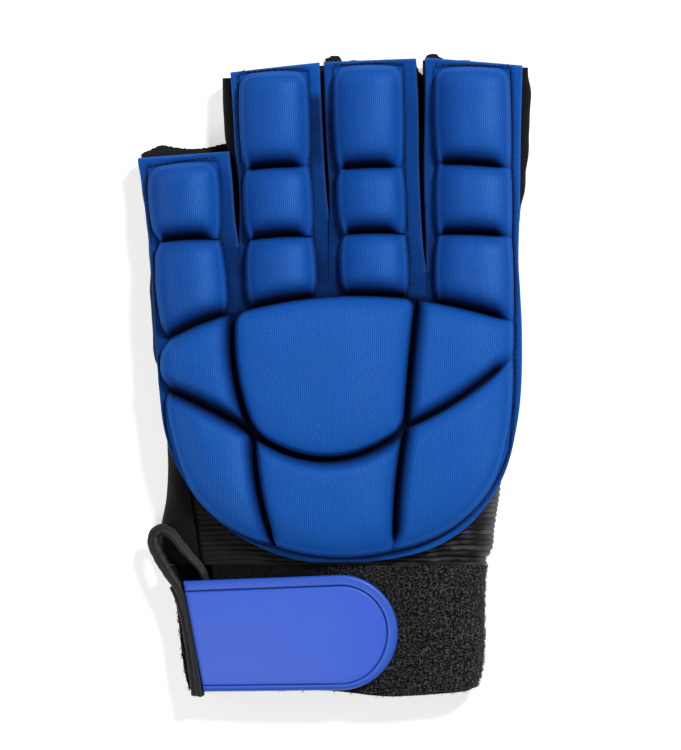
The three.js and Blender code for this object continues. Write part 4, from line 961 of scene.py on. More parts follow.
def column_seam(column):
    """Line of stitches round one finger column, from the web up, over the tip and down."""
    left, right = np.array(column["left"], float), np.array(column["right"], float)
    (left_x, left_y), (right_x, right_y) = left[0], right[0]
    corner, side, rise = SEAM["corner"], SEAM["side"], SEAM["rise"]
    up = [(x - STITCH_OFF - column["bow"] * 0.55, y) for x, y in left[::-1]]
    up[-1] = (left_x - STITCH_OFF, left_y - side)
    up[0] = (up[0][0] + 0.5, up[0][1] + SEAM["web"])
    over = [(left_x + 0.3, left_y + rise), (left_x + corner, left_y + STITCH_OFF + 0.7),
            ((left_x + right_x) / 2, (left_y + right_y) / 2 + STITCH_OFF + rise),
            (right_x - corner, right_y + STITCH_OFF + 0.7), (right_x - 0.3, right_y + rise)]
    down = [(x + STITCH_OFF + column["bow"] * 0.3, y) for x, y in right]
    down[0] = (right_x + STITCH_OFF, right_y - side)
    down[-1] = (down[-1][0] - 0.2, down[-1][1] + SEAM["web"])
    return curve_through(up + over + down, 160)


def arc_points(edge, out, count=24):
    (ax, ay), (bx, by), bow = edge["a"], edge["b"], edge["bow"]
    t = np.linspace(0, 1, count)
    length = math.hypot(bx - ax, by - ay)
    nx, ny = -(by - ay) / length, (bx - ax) / length
    sag = bow * 4 * t * (1 - t) - out
    return np.stack([ax + (bx - ax) * t + nx * sag, ay + (by - ay) * t + ny * sag], -1)


def hand_seam():
    """Line of stitches round the hand's pads, from the left knuckle to the right one."""
    names = ["knuckleOuterLeft", "waistOuterLeft", "heelOuterLeft", "heelLeft", "heelRight",
             "heelOuterRight", "waistOuterRight", "knuckleOuterRight"]
    run = []
    for start, end in zip(names, names[1:]):
        run.append(arc_points(hand_edge(start, end), STITCH_OFF + SEAM["hand_off"])[:-1])
    line = np.vstack(run)
    on_flange = line[:, 0] - read(LEFT_EDGE, "x", line[:, 1]) > SEAM["hem"]
    shown = on_flange & (line[:, 1] < 0) | (line[:, 0] > 0)
    return spaced(line[shown], 320)


def build_foam(sizes, colours):
    cover = knit_material("Foam knit cover", colours, sizes)
    lining = cloth_material("Foam lining", colours.cloth, 0.85, 0.35, 0.5)
    grids, rims, painted_shades = flange_grids()
    parts = closed_sheet(grids, inner_slot=1, edge=rims, crease=painted_shades)
    parts += [pad_part(pad) for pad in finger_pads() + hand_pads()]
    foam = add_piece("foam_back", parts, [cover, lining])
    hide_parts("foam_back_pad")
    return foam


def build_stitches(sizes, colours):
    thread = thread_material("Sewing thread", colours.thread)
    parts = []
    for finger, column in enumerate(FINGER_COLUMNS):
        line, up = flange_point(column_seam(column), finger)
        parts.append(stitches(line, up, sizes))
    line, up = flange_point(hand_seam(), None)
    parts.append(stitches(line, up, sizes))
    return add_piece("foam_stitches", parts, [thread])


# Palm
def palm_grids():
    grids = []
    shares = np.linspace(0, 1, 72)
    for finger, tip in enumerate(FINGERS):
        rows = strip_rows(finger, PALM["end_y"], 1.6)
        y_left = np.array([row[0] for row in rows])
        y_right = np.array([row[1] for row in rows])
        stretch = smoothstep(y_left - tip["tip_left"], -PALM["fray_run"], 0)[:, None]
        left, right = strip_edges(finger, y_left)[0], strip_edges(finger, y_right)[1]
        if finger == 0:
            foot = read(LITTLE_SIDE, "foot", y_left) - PALM["foot_overlap"]
            edge = left + PALM["little_inset"]
            left = foot + (edge - foot) * smoothstep(y_left, *PALM["to_foot"])
        else:
            above = smoothstep(y_left - SLITS[finger - 1]["y"][0], 0, PALM["web_run"])
            left = left + (PALM["slit_shift"] + 0.1) * above
        if finger == 3:
            edge = right - PALM["index_inset"]
            rib = read(RIB_SIDE, "x", y_right) - PALM["rib_inset"]
            mid = (THUMB_HOLE["front"] + THUMB_HOLE["back"]) / 2
            half = (THUMB_HOLE["front"] - THUMB_HOLE["back"]) / 2
            bay = THUMB_HOLE["depth"] * np.clip(1 - ((y_right - mid) / half) ** 2, 0, 1)
            t = smoothstep(y_right, THUMB_HOLE["back"], THUMB_HOLE["front"])
            right = rib + (edge - rib) * t - bay
        else:
            above = smoothstep(y_right - SLITS[finger]["y"][0], 0, PALM["web_run"])
            gap = read(SLITS[finger], "gap", y_right)
            to_tip = y_right - tip["tip_right"]
            notch = 1 - PALM["notches"][finger] * smoothstep(to_tip, *PALM["notch"])
            right = right + (gap * notch + PALM["slit_shift"]) * above
        x = left[:, None] + (right - left)[:, None] * shares
        y = y_left[:, None] + (y_right - y_left)[:, None] * shares
        y = y + (read(FRAYS[finger], "out", shares) + uneven("fray", x, 0 * x, finger)) * stretch
        top = np.stack([x, y, PALM_THICK - PALM["sag"] + uneven("palm", x, y)], -1)
        bottom = np.stack([x, y, np.zeros_like(x)], -1)
        grids.append((top, bottom))
    return grids


def build_palm(sizes, colours):
    suede = cloth_material("Palm suede", colours.palm, 0.92, 0.5, 0.9)
    palm = add_piece("palm", closed_sheet(palm_grids()), [suede], sharp_deg=40)
    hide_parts("palm_panel")
    return palm


# Standing strips along the sides and round the finger gaps
def stations(*columns):
    """Rows of a strip: its foot's x and y, its way inside, its tuck, its belly and its top."""
    return np.stack(np.broadcast_arrays(*columns), -1).astype(float)


def standing_strip(rows, levels=14, wrinkle=0.16, seed=0.0, cut=None):
    foot, way = rows[:, :2], rows[:, 2:4]
    tuck, belly, top = rows[:, 4:5], rows[:, 5:6], rows[:, 6:7]
    angle = np.linspace(0, math.pi / 2, levels)[None, :]
    rise = np.sin(angle)
    hang = np.sin(2 * angle)
    soft = wrinkle * hang * ripple(run_along(foot)[:, None], rise * 14, 9.0, seed)
    inward = tuck * (1 - np.cos(angle)) - (belly - soft) * hang
    z = WALL_FOOT_Z + (top - WALL_FOOT_Z) * rise
    middle = np.stack([foot[:, :1] + way[:, :1] * inward, foot[:, 1:] + way[:, 1:] * inward, z], -1)
    if cut:
        middle = cut(middle)
    outer, inner = thicken(middle, FABRIC_THICK)
    outer[:, 0, 2] = inner[:, 0, 2] = WALL_FOOT_Z
    return closed_sheet([(outer, inner)])


def strip_top(x, y, finger):
    return back_z(x, y, finger) - UNDER_FOAM_GAP - FABRIC_THICK / 2


def slit_cut(middle):
    """Lowers the strip inside the slit, whose edge runs from its apex to the strap."""
    below = SLIT_EDGE["y"] - middle[..., 1]
    edge = SLIT_EDGE["x"] + below * SLIT_EDGE["slope"]
    inside = smoothstep(edge - middle[..., 0], 0.0, 1.0) * smoothstep(below, 5.0, 8.0)
    low = np.minimum(middle[..., 2], SLIT_EDGE["floor"])
    middle[..., 2] += (low - middle[..., 2]) * inside
    return middle


def little_side():
    y = np.linspace(-46.25, 67.6, 84)
    wrist = y < LITTLE_SIDE["y"][-1]
    x = np.where(wrist, read(LITTLE_SIDE, "foot", y), read(LEFT_EDGE, "x", y) + WALL_INSET)
    tuck = np.where(wrist, read(LITTLE_SIDE, "seam", y) - x, SIDE_TUCK)
    belly = read(LITTLE_SIDE_BELLY, "x", y)
    rows = stations(x, y, 1, 0, tuck, belly, strip_top(x + tuck, y, 0))
    return standing_strip(rows, levels=26, wrinkle=0.25, seed=0.6, cut=slit_cut)


def index_side():
    y = np.linspace(THUMB_HOLE["front"], 93.4, 62)
    x = read(RIGHT_EDGE, "x", y) - WALL_INSET
    belly = read(INDEX_SIDE_BELLY, "x", y)
    rows = stations(x, y, -1, 0, SIDE_TUCK, belly, strip_top(x - SIDE_TUCK, y, 3))
    return standing_strip(rows, wrinkle=0.35, seed=2.2)


def gap_strip(slit):
    start = SLITS[slit]["y"][0] + GAP_STRIP["start"]

    def side(finger, edge):
        tip = FINGERS[finger]["tip_right" if edge else "tip_left"]
        way = -1 if edge else 1
        y = np.linspace(start, tip - GAP_STRIP_ENDS[slit][edge == 0], 40)
        x = strip_edges(finger, y)[edge] + way * WALL_INSET
        belly = 0.75 * smoothstep(y, start, start + 6) * (1 + 0.5 * read(SLITS[slit], "gap", y))
        if finger == 1 and edge == 0:
            belly = read(RING_SIDE_BELLY, "x", y)
        return stations(x, y, way, 0, GAP_STRIP["tuck"], belly, strip_top(x, y, finger))

    down, up = side(slit, 1)[::-1], side(slit + 1, 0)
    (foot_x, foot_y), head_x = down[-1, :2], up[0, 0]
    angle = math.pi * np.linspace(0, 1, 14)[1:-1]
    x = (head_x + foot_x) / 2 - (head_x - foot_x) / 2 * np.cos(angle)
    y = foot_y - GAP_STRIP["bend"] * np.sin(angle)
    top = np.minimum(strip_top(x, y, slit), strip_top(x, y, slit + 1))
    bend = stations(x, y, -np.cos(angle), -np.sin(angle), GAP_STRIP["tuck"], 0.0, top)
    return standing_strip(np.vstack([down, bend, up]), wrinkle=0.12, seed=slit + 1.0)


def build_sides(sizes, colours):
    cloth = cloth_material("Side cloth", colours.cloth, 0.8, 0.3, 0.4, 0.12)
    little = add_piece("little_side", little_side(), [cloth], sharp_deg=60)
    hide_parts("little_finger_side")
    index = add_piece("index_side", index_side(), [cloth], sharp_deg=60)
    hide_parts("index_finger_side")
    for slit in range(len(SLITS)):
        names = FINGERS[slit]["name"], FINGERS[slit + 1]["name"]
        gusset = add_piece(f"gap_{names[0]}_{names[1]}", gap_strip(slit), [cloth], sharp_deg=60)
        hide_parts(f"gusset_{names[0]}_{names[1]}")


# Ribbed elastic panel
def rib_panel(sizes):
    pitch, depth = sizes.rib_pitch / MM, sizes.rib_depth / MM
    sink = UNDER_FOAM_GAP + RIBS["sink"] + FABRIC_THICK / 2
    first, last = CUFF_TOP_Y + 0.05, RIB_TOP_Y
    rows = int((last - first) / pitch * RIBS["rows_each"])
    y = np.linspace(first, last, rows)[:, None]
    start = read(LITTLE_SIDE, "seam", y) + RIBS["seam_gap"]
    bend_x = read(RIB_SIDE, "x", y) - FABRIC_THICK / 2 - RIB_BEND
    share = np.linspace(0, 1, 60)[None, :]
    x = start + (bend_x - start) * share
    side = smoothstep(x, 15, 44)
    wave = uneven("rib_row", x, y * 0.4) + side * uneven("rib_side", x, y)
    z = back_z(x, y) - sink
    flat = np.stack([x, np.broadcast_to(y, x.shape), z], -1)
    angle = np.linspace(0, math.pi / 2, 17)[None, 1:]
    round_x = bend_x + RIB_BEND * np.sin(angle)
    shoulder = z[:, -1:]
    round_z = WALL_FOOT_Z + (shoulder - WALL_FOOT_Z) * np.cos(angle)
    bend = np.stack([round_x, np.broadcast_to(y, round_x.shape), round_z], -1)
    middle = np.concatenate([flat, bend], axis=1)
    wave = np.concatenate([wave, np.repeat(wave[:, -1:], bend.shape[1], axis=1)], axis=1)
    ribs = np.cos(2 * math.pi * (middle[..., 1] + wave) / pitch)
    ribs = np.sign(ribs) * np.abs(ribs) ** RIBS["power"]
    across, upward = middle[..., 0], middle[..., 1]
    patchy = 0.8 + uneven("rib_wear", across, upward)
    ribs = ribs * patchy * (0.45 + 0.55 * smoothstep(across, -30, 8))
    glint = (smoothstep(-ribs, 0.45, 1.0) * smoothstep(across, 4, 34)
             * smoothstep(uneven("rib_glint", across, upward * 2.4), -0.5, 0.6))
    edge = smoothstep(middle[..., 1], first, first + 1.2)
    middle = middle + normals_of(middle) * (ribs * depth * edge)[..., None]
    return closed_sheet([thicken(middle, FABRIC_THICK)], glint=glint)


def build_ribs(sizes, colours):
    cloth = cloth_material("Rib cloth", colours.ribs, 0.5, 0.3, 0.35, 0.16)
    ribs = add_piece("ribs", rib_panel(sizes), [cloth])
    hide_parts("rib_panel")
    return ribs


# Wrist band
def cuff_surface():
    half = CUFF_THICK / 2
    shares = np.array([0, 0.006, 0.02] + list(np.linspace(0.045, 0.955, 30)) + [0.98, 0.994, 1])
    y = CUFF_TOP_Y + (CUFF_HEM["y"] - CUFF_TOP_Y) * shares[:, None]
    turn_x = read(CUFF_SIDES, "right", y) - half - CUFF_BEND
    left_x = read(CUFF_SIDES, "left", y) + half + CUFF_BEND
    pinch = CUFF_HEM["pinch"] * shares[:, None] ** 6
    slit = read(CUFF_SIDES, "slit", y)
    crown = back_z(turn_x, y) - half - pinch
    centre = (crown + half) / 2
    back_x = slit + (turn_x - slit) * np.linspace(0, 1, 44)[None, :]
    back = np.stack([back_x, back_z(back_x, y) - half - pinch], -1)
    angle = np.linspace(0, math.pi, 22)[None, 1:]
    turn = np.stack([turn_x + CUFF_BEND * np.sin(angle), centre + (crown - centre) * np.cos(angle)], -1)
    palm_x = turn_x + (left_x - turn_x) * np.linspace(0, 1, 40)[None, 1:]
    palm = np.stack([palm_x, np.full_like(palm_x, half)], -1)
    rise_angle = np.linspace(0, math.pi / 2, 12)[None, 1:]
    rise_x = left_x - CUFF_BEND * np.sin(rise_angle)
    rise_z = half + (CUFF_LEFT_TOP_Z - half) * (1 - np.cos(rise_angle))
    rise = np.stack([rise_x, np.broadcast_to(rise_z, rise_x.shape)], -1)
    section = np.concatenate([back, turn, palm, rise], axis=1)
    side = np.maximum((section[..., 0] - CUFF_HEM["start"]) / CUFF_HEM["reach"], 0)
    short = 1 - smoothstep(section[..., 0], CUFF_HEM["left"], CUFF_HEM["start"] + 10)
    corner = np.clip((section[..., 0] - CUFF_HEM["corner"]) / CUFF_HEM["corner_run"], 0, 1) ** 2
    hem = CUFF_HEM["y"] + CUFF_HEM["rise"] * side ** 2 + CUFF_HEM["lift"] * short
    hem = hem + CUFF_HEM["corner_rise"] * corner
    row_y = CUFF_TOP_Y + (hem - CUFF_TOP_Y) * shares[:, None]
    return np.stack([section[..., 0], row_y, section[..., 1]], -1)


def pile_loops(surface, normal, length):
    """Short curled threads standing on the wrist band's outside."""
    random = np.random.default_rng(PILE_THREADS["seed"])
    count = PILE_THREADS["count"]
    rows, columns = surface.shape[:2]
    i = random.uniform(0.5, rows - 1.5, count)
    j = random.uniform(0.5, columns - 1.5, count)
    low_i, low_j = i.astype(int), j.astype(int)
    ti, tj = (i - low_i)[:, None], (j - low_j)[:, None]

    def blend_of(grid):
        return ((grid[low_i, low_j] * (1 - ti) + grid[low_i + 1, low_j] * ti) * (1 - tj)
                + (grid[low_i, low_j + 1] * (1 - ti) + grid[low_i + 1, low_j + 1] * ti) * tj)

    base, up = blend_of(surface), blend_of(normal)
    turn = random.uniform(0, 2 * math.pi, count)
    side = unit(np.cross(up, [0.0, 1.0, 0.0]))
    fore = np.cross(side, up)
    lean = side * np.cos(turn)[:, None] + fore * np.sin(turn)[:, None]
    cross = np.cross(up, lean)
    spec = PILE_THREADS
    size = length * random.uniform(spec["least"], spec["most"], count)
    arc = math.pi * spec["turn"] * np.linspace(0, 1, 6)
    radius = size[:, None] * spec["round"]
    path = (base[:, None] + lean[:, None] * ((1 - np.cos(arc)) * radius)[..., None]
            + up[:, None] * (np.sin(arc) * radius * spec["tall"] - spec["sink"])[..., None]
            + cross[:, None] * (np.sin(arc * spec["twist"]) * radius * spec["sway"])[..., None])
    along = unit(np.gradient(path, axis=1))
    first = unit(np.cross(along, cross[:, None]), 1e-6)
    second = np.cross(along, first)
    ring = []
    for corner in range(3):
        angle = corner * FULL_TURN / 3
        ring.append(path + (first * math.cos(angle) + second * math.sin(angle)) * PILE_THREADS["radius"])
    return tube_copies(np.stack(ring, 2))


def build_cuff(sizes, colours):
    pile = pile_material("Loop pile", colours.pile)
    loops = thread_material("Pile threads", [c * 5 + 0.014 for c in colours.pile], 0.6)
    surface = cuff_surface()
    normal = normals_of(surface)
    x, y = surface[..., 0], surface[..., 1]
    if normal[2, 4, 2] < 0:
        normal = -normal
    tuft = uneven("pile_tuft", x, y) + uneven("pile_fine", x + surface[..., 2], y)
    outer = surface + normal * (CUFF_THICK / 2 - 0.12 + tuft)[..., None]
    inner = surface - normal * (CUFF_THICK / 2)
    outer[..., 2] = np.maximum(outer[..., 2], 0.0)
    # Painted shade, kept in the value named seam: near black along the band's top by the strap, darker
    # towards the left
    under_strap = (1 - smoothstep(x, -8, 24)) * smoothstep(y, -54, -49)
    seam = np.maximum(under_strap, 0.35 * (1 - smoothstep(x, 14, 36)))
    band = add_piece("wrist_band_pile", closed_sheet([(outer, inner)], seam=seam), [pile])
    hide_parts("wrist_band")
    skin = surface + normal * (CUFF_THICK / 2 - 0.1)
    threads = pile_loops(skin, normal, sizes.pile_length / MM)
    threads.points[:, 2] = np.maximum(threads.points[:, 2], 0.02)
    under = (threads.points[:, 0] < -2) & (threads.points[:, 1] > -54) & (threads.points[:, 2] > 6)
    threads.faces = [quads[~under[quads].any(axis=1)] for quads in threads.faces]
    add_piece("wrist_band_loops", [threads], [loops])
    return band


# Closing strap
def strap_outline():
    """Points round the strap, the point of its spine across from each, and the rim's width there."""
    left_top, left_bottom, arc = (np.array(STRAP[key]) for key in ("left_top", "left_bottom", "arc"))
    drop = np.array([0, STRAP["radius"]])
    steps = (np.arange(51) / 50)[:, None]
    angle = np.linspace(0, math.pi, 72)
    start = (left_top + left_bottom) / 2
    middle = start + (arc - start) * np.linspace(0, 1, 51)[:, None]
    top = left_top + (arc + drop - left_top) * steps[:-1]
    turn = arc + STRAP["radius"] * np.stack([np.sin(angle), np.cos(angle)], -1)
    bottom = arc - drop + (left_bottom - arc + drop) * steps[1:]
    outer = np.vstack([top, turn, bottom])
    spine = np.vstack([middle[:50], np.repeat(middle[50:], len(angle), axis=0), middle[49::-1]])
    narrow = STRAP["narrow_rim"]
    round_share = 1 - (1 - narrow) * smoothstep(angle, 1.7, 3.1)
    share = np.concatenate([np.ones(50), round_share, np.full(50, narrow)])
    return outer, spine, share


def strap_sheet():
    outer, spine, share = strap_outline()
    length = np.linalg.norm(spine - outer, axis=1)[:, None]
    profile = np.array(STRAP_PROFILE["inset"])[None, :]
    rises = np.array(STRAP_PROFILE["rise"])
    insets = profile * (share[:, None] * smoothstep(profile, 0.5, 2.6) + 1 - smoothstep(profile, 0.5, 2.6))
    rest = insets[:, -1:] + (length - insets[:, -1:]) * np.array([0.12, 0.3, 0.5, 0.75, 1.0])
    inset = np.concatenate([insets, rest], axis=1)
    flat_inset = np.concatenate([np.broadcast_to(profile, insets.shape), np.full_like(rest, 9.0)], axis=1)
    rise = np.concatenate([np.broadcast_to(rises, (len(outer), len(rises))),
                           np.broadcast_to([1.48, 1.53, 1.57, 1.6, 1.6], (len(outer), 5))], axis=1)
    t = (inset / length)[..., None]
    place = outer[:, None] + (spine - outer)[:, None] * t
    place[:, -1] = spine
    x, y = place[..., 0], place[..., 1]
    base = back_z(x, y) + BAND_GAP
    top = np.stack([x, y, base + rise + uneven("strap", x, y)], -1)
    bottom = np.stack([x, y, base], -1)
    # Painted shade in the moulded groove
    groove = np.exp(-((flat_inset - 3.0) / 0.16) ** 2)
    rim = 1 - smoothstep(flat_inset, 2.6, 2.9)
    # Painted highlight along the rim's edge beside the groove
    shine = np.exp(-((flat_inset - 2.6) / 0.2) ** 2)
    return closed_sheet([(top, bottom)], groove=groove, rim=rim, shine=shine)


def build_strap(sizes, colours):
    rubber = rubber_material("Strap rubber", colours.strap)
    strap = add_piece("strap", strap_sheet(), [rubber])
    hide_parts("closing_strap")
    return strap


# Bindings: rolled satin edges with the pinches of their seam
def pinched(count, radius, seed, depth=0.07):
    t = np.linspace(0, 1, count)
    waves = np.sin(t * 190 + seed) * np.sin(t * 61 + 2 * seed) + 0.6 * np.sin(t * 23 + seed)
    return radius * (1 + depth * waves)


def build_bindings(sizes, colours):
    vinyl = vinyl_material("Satin binding", colours.binding)
    radius = sizes.binding_radius / MM
    line = curve_through(SLIT_BINDING, 300)
    swell = read(LOOP_SWELL, "wide", np.linspace(0, 1, 300))
    roll = tube(line, pinched(300, radius, 0.7, 0.05) * swell, 28, flat=0.72, fold=0.3)
    slit = add_piece("slit_roll", [roll], [vinyl])
    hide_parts("slit_binding")
    line = curve_through(STRAP_BINDING, 60)
    roll = tube(line, pinched(60, radius * 0.79, 1.9), 24, flat=0.85, fold=0.25)
    strap = add_piece("strap_roll", [roll], [vinyl])
    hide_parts("strap_binding")
    line = curve_through(THUMB_BINDING, 180, closed=True)
    roll = tube(line, pinched(180, 1.1, 0.4, 0.05), 14, closed=True)
    thumb = add_piece("thumb_roll", [roll], [vinyl])
    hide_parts("thumb_hole_binding")


# Materials
class Field:
    """A number that varies over a surface. Sums and products of fields are math nodes."""

    def __init__(self, tree, socket):
        self.tree = tree
        self.socket = socket

    def __add__(self, other):
        return math_node("ADD", self, other)

    def __sub__(self, other):
        return math_node("SUBTRACT", self, other)

    def __mul__(self, other):
        return math_node("MULTIPLY", self, other)

    def __truediv__(self, other):
        return math_node("DIVIDE", self, other)

    def scaled(self, factor, shift):
        return math_node("MULTIPLY_ADD", self, factor, shift)

    def share(self, factor, shift=None):
        """The field times a factor, plus a shift, kept between 0 and 1."""
        if shift is None:
            return math_node("MULTIPLY", self, factor, clamp=True)
        return math_node("MULTIPLY_ADD", self, factor, shift, clamp=True)


def connect(tree, value, socket):
    """Links a field or a node's output to an input, or sets the input to a plain value."""
    if isinstance(value, Field):
        value = value.socket
    if isinstance(value, bpy.types.NodeSocket):
        tree.links.new(value, socket)
    elif socket.type == "RGBA":
        socket.default_value = (*tuple(value)[:3], 1.0)
    else:
        socket.default_value = value


def node(tree, kind, inputs, **settings):
    made = tree.nodes.new(kind)
    for key, value in settings.items():
        setattr(made, key, value)
    for key, value in inputs.items():
        connect(tree, value, made.inputs[key])
    return made


def math_node(operation, *values, clamp=False):
    """One math node whose inputs are fields or numbers."""
    tree = next(value.tree for value in values if isinstance(value, Field))
    made = node(tree, "ShaderNodeMath", dict(enumerate(values)), operation=operation, use_clamp=clamp)
    return Field(tree, made.outputs[0])


def scaled_vector(tree, vector, scale):
    return node(tree, "ShaderNodeVectorMath", {0: vector, "Scale": scale}, operation="SCALE").outputs[0]


def place_in_mm(tree):
    """Object coordinates in millimetres."""
    return scaled_vector(tree, node(tree, "ShaderNodeTexCoord", {}).outputs["Object"], 1 / MM)


def coordinate(tree, vector, axis):
    return Field(tree, node(tree, "ShaderNodeSeparateXYZ", {0: vector}).outputs[axis])


def noise(tree, vector, scale, detail=3.0, roughness=0.55, distortion=0.0):
    inputs = {"Vector": vector, "Scale": scale, "Detail": detail, "Roughness": roughness,
              "Distortion": distortion}
    return Field(tree, node(tree, "ShaderNodeTexNoise", inputs, noise_dimensions="3D").outputs["Fac"])


def knit_fields(tree, pitch, slant):
    """Knitted cover: wales along the fingers and the slanting rows of loops that cross them."""
    spot = place_in_mm(tree)
    x = coordinate(tree, spot, 0) + noise(tree, spot, 0.12, 1.0) * 1.6
    y = coordinate(tree, spot, 1)
    wale = x / pitch * FULL_TURN
    row = (x + y) * 0.74 / pitch * FULL_TURN
    share = (noise(tree, spot, 0.085, 1.0) - 0.5).scaled(4.0, slant)
    share = math_node("MINIMUM", math_node("MAXIMUM", share, 0.0), 1.0).scaled(0.7, 0.15)
    upright = math_node("SINE", wale).scaled(0.5, 0.5)
    slanted = math_node("SINE", row).scaled(0.5, 0.5)
    lines = upright * math_node("SUBTRACT", 1.0, share) + slanted * share
    height = lines * 0.5 + upright * slanted * 0.6
    height = height + noise(tree, spot, 3.2, 2.0).scaled(0.7, -0.35)
    return {"Height": height, "Gap": math_node("SUBTRACT", 1.0, height, clamp=True),
            "Patch": noise(tree, spot, 0.11, 3.0)}


def fibre_fields(tree, coarse):
    """Fine matted fibres, lint specks and slow patches of wear."""
    spot = place_in_mm(tree)
    stretched = scaled_vector(tree, spot, coarse)
    height = noise(tree, stretched, 2.6, 4.0, 0.7) + noise(tree, stretched, 0.55, 2.0) * 0.5
    lint = (noise(tree, spot, 1.9, 1.0) - 0.72).share(9.0)
    return {"Height": height, "Patch": noise(tree, spot, 0.07, 3.0), "Lint": lint}


def pile_fields(tree, curl):
    """Looped pile: curled threads that catch the light over a dark ground."""
    spot = place_in_mm(tree)
    ridges = []
    for shift, stretch in ((0.0, 1.0), (37.0, 1.6)):
        moved = node(tree, "ShaderNodeVectorMath", {0: spot, 1: (shift, shift * 0.7, 0.0)}, operation="ADD")
        curls = noise(tree, moved.outputs[0], curl * stretch, 1.5, 0.5, 1.2)
        off = math_node("ABSOLUTE", curls - 0.5)
        ridges.append(math_node("SUBTRACT", 1.0, off * 6.0, clamp=True))
    broken = noise(tree, spot, 1.7, 3.0, 0.7).share(9.0, -4.5)
    wales = math_node("SINE", coordinate(tree, spot, 0) * (FULL_TURN / PILE_WALE))
    thread = math_node("MAXIMUM", *ridges) * broken * wales.scaled(0.22, 0.78)
    return {"Height": thread + noise(tree, spot, 2.2, 3.0, 0.7), "Thread": thread}


# Node groups by name: what their inputs are and which function fills them
NODE_GROUPS = {
    "Knit": ({"Pitch": 0.66, "Slant": 0.5}, knit_fields),
    "Fibres": ({"Coarse": 1.0}, fibre_fields),
    "Looped pile": ({"Curl": 1.5}, pile_fields),
}


def node_group(name):
    """One of the node groups, made when it is first asked for."""
    if name in bpy.data.node_groups:
        return bpy.data.node_groups[name]
    inputs, fill = NODE_GROUPS[name]
    group = bpy.data.node_groups.new(name, "ShaderNodeTree")
    for label, default in inputs.items():
        socket = group.interface.new_socket(name=label, in_out="INPUT", socket_type="NodeSocketFloat")
        socket.default_value = default
    start = group.nodes.new("NodeGroupInput")
    fields = fill(group, *(Field(group, start.outputs[label]) for label in inputs))
    for label in fields:
        group.interface.new_socket(name=label, in_out="OUTPUT", socket_type="NodeSocketFloat")
    node(group, "NodeGroupOutput", fields)
    return group


def dim(colour, share):
    return [c * share for c in colour]


def sheen(weight, roughness, tint):
    return {"Sheen_Weight": weight, "Sheen_Roughness": roughness, "Sheen_Tint": tint}


class Surface:
    """A material whose colour is laid on in layers."""

    def __init__(self, name, colour):
        self.material = bpy.data.materials.new(name)
        self.material.use_nodes = True
        self.tree = self.material.node_tree
        self.colour = colour

    def fields(self, group, **values):
        made = node(self.tree, "ShaderNodeGroup", values, node_tree=node_group(group))
        return {socket.name: Field(self.tree, socket) for socket in made.outputs}

    def attribute(self, name):
        made = node(self.tree, "ShaderNodeAttribute", {}, attribute_name=name)
        return Field(self.tree, made.outputs["Fac"])

    def layer(self, share, colour):
        inputs = {0: share, 6: self.colour, 7: colour}
        self.colour = node(self.tree, "ShaderNodeMix", inputs, data_type="RGBA").outputs[2]

    def mark(self, attribute, strength, colour):
        self.layer(self.attribute(attribute).share(strength), colour)

    def emboss(self, height, strength, distance):
        inputs = {"Height": height, "Strength": strength, "Distance": distance}
        return {"Normal": node(self.tree, "ShaderNodeBump", inputs).outputs[0]}

    def finished(self, **inputs):
        """Sets the shader's inputs, by their names with _ for each space."""
        shader = self.tree.nodes["Principled BSDF"]
        for key, value in {"Base Color": self.colour, **inputs}.items():
            connect(self.tree, value, shader.inputs[key.replace("_", " ")])
        return self.material


def knit_material(name, colours, sizes):
    surface = Surface(name, colours.foam)
    knit = surface.fields("Knit", Pitch=sizes.weave_pitch / MM, Slant=0.5)
    fibres = surface.fields("Fibres", Coarse=1.1)
    crest = surface.attribute("crest")
    low = surface.attribute("low").share(1.0)
    plain = math_node("SUBTRACT", 1.0, crest, clamp=True)
    open_weave = knit["Gap"] * crest.scaled(0.52, 0.12)
    surface.layer(plain.share(0.30, open_weave), colours.foam_deep)
    # Painted highlight on the threads' tops over the pads' crowns
    surface.layer(knit["Height"].share(2.4, -1.3) * (crest * 0.5), (0.06, 0.28, 0.84))
    # Painted highlight streak down the pads
    surface.layer(surface.attribute("shine").share(knit["Height"].share(0.95, -0.05)), (0.085, 0.31, 0.9))
    surface.layer(plain.share(fibres["Height"].scaled(1.6, -0.9)), dim(colours.foam, 0.4))
    # Painted shade at the pads' feet and painted shadows on the flange
    surface.mark("crease", 0.99, dim(colours.foam_deep, 0.24))
    # Painted shade of the finger pads, from the tone value
    surface.mark("tone", 0.24, colours.foam_deep)
    surface.layer(knit["Patch"].share(0.5, -0.12), dim(colours.foam, 0.72))
    # Painted shade in the grooves: navy on the slopes, near black at their foot
    surface.layer(low.share(1.5), dim(colours.foam_deep, 0.55))
    surface.layer(low.share(2.2, -0.95), dim(colours.foam_deep, 0.13))
    # Painted highlight along the pads' wall tops, partly the lighter stretched cover
    surface.mark("rim", 0.22, (0.05, 0.21, 0.72))
    # Painted highlight along the flange's rounded cut edge
    surface.mark("edge", 0.4, (0.06, 0.2, 0.6))
    rough = math_node("ADD", knit["Gap"].scaled(0.3, 0.42), plain.scaled(0.35, low), clamp=True)
    relief = surface.emboss(knit["Height"] * crest.scaled(0.7, 0.3), 0.45, 0.00020)
    return surface.finished(Roughness=rough, Specular_IOR_Level=0.15, **relief,
                            **sheen(0.01, 0.35, (0.3, 0.5, 1.0)))


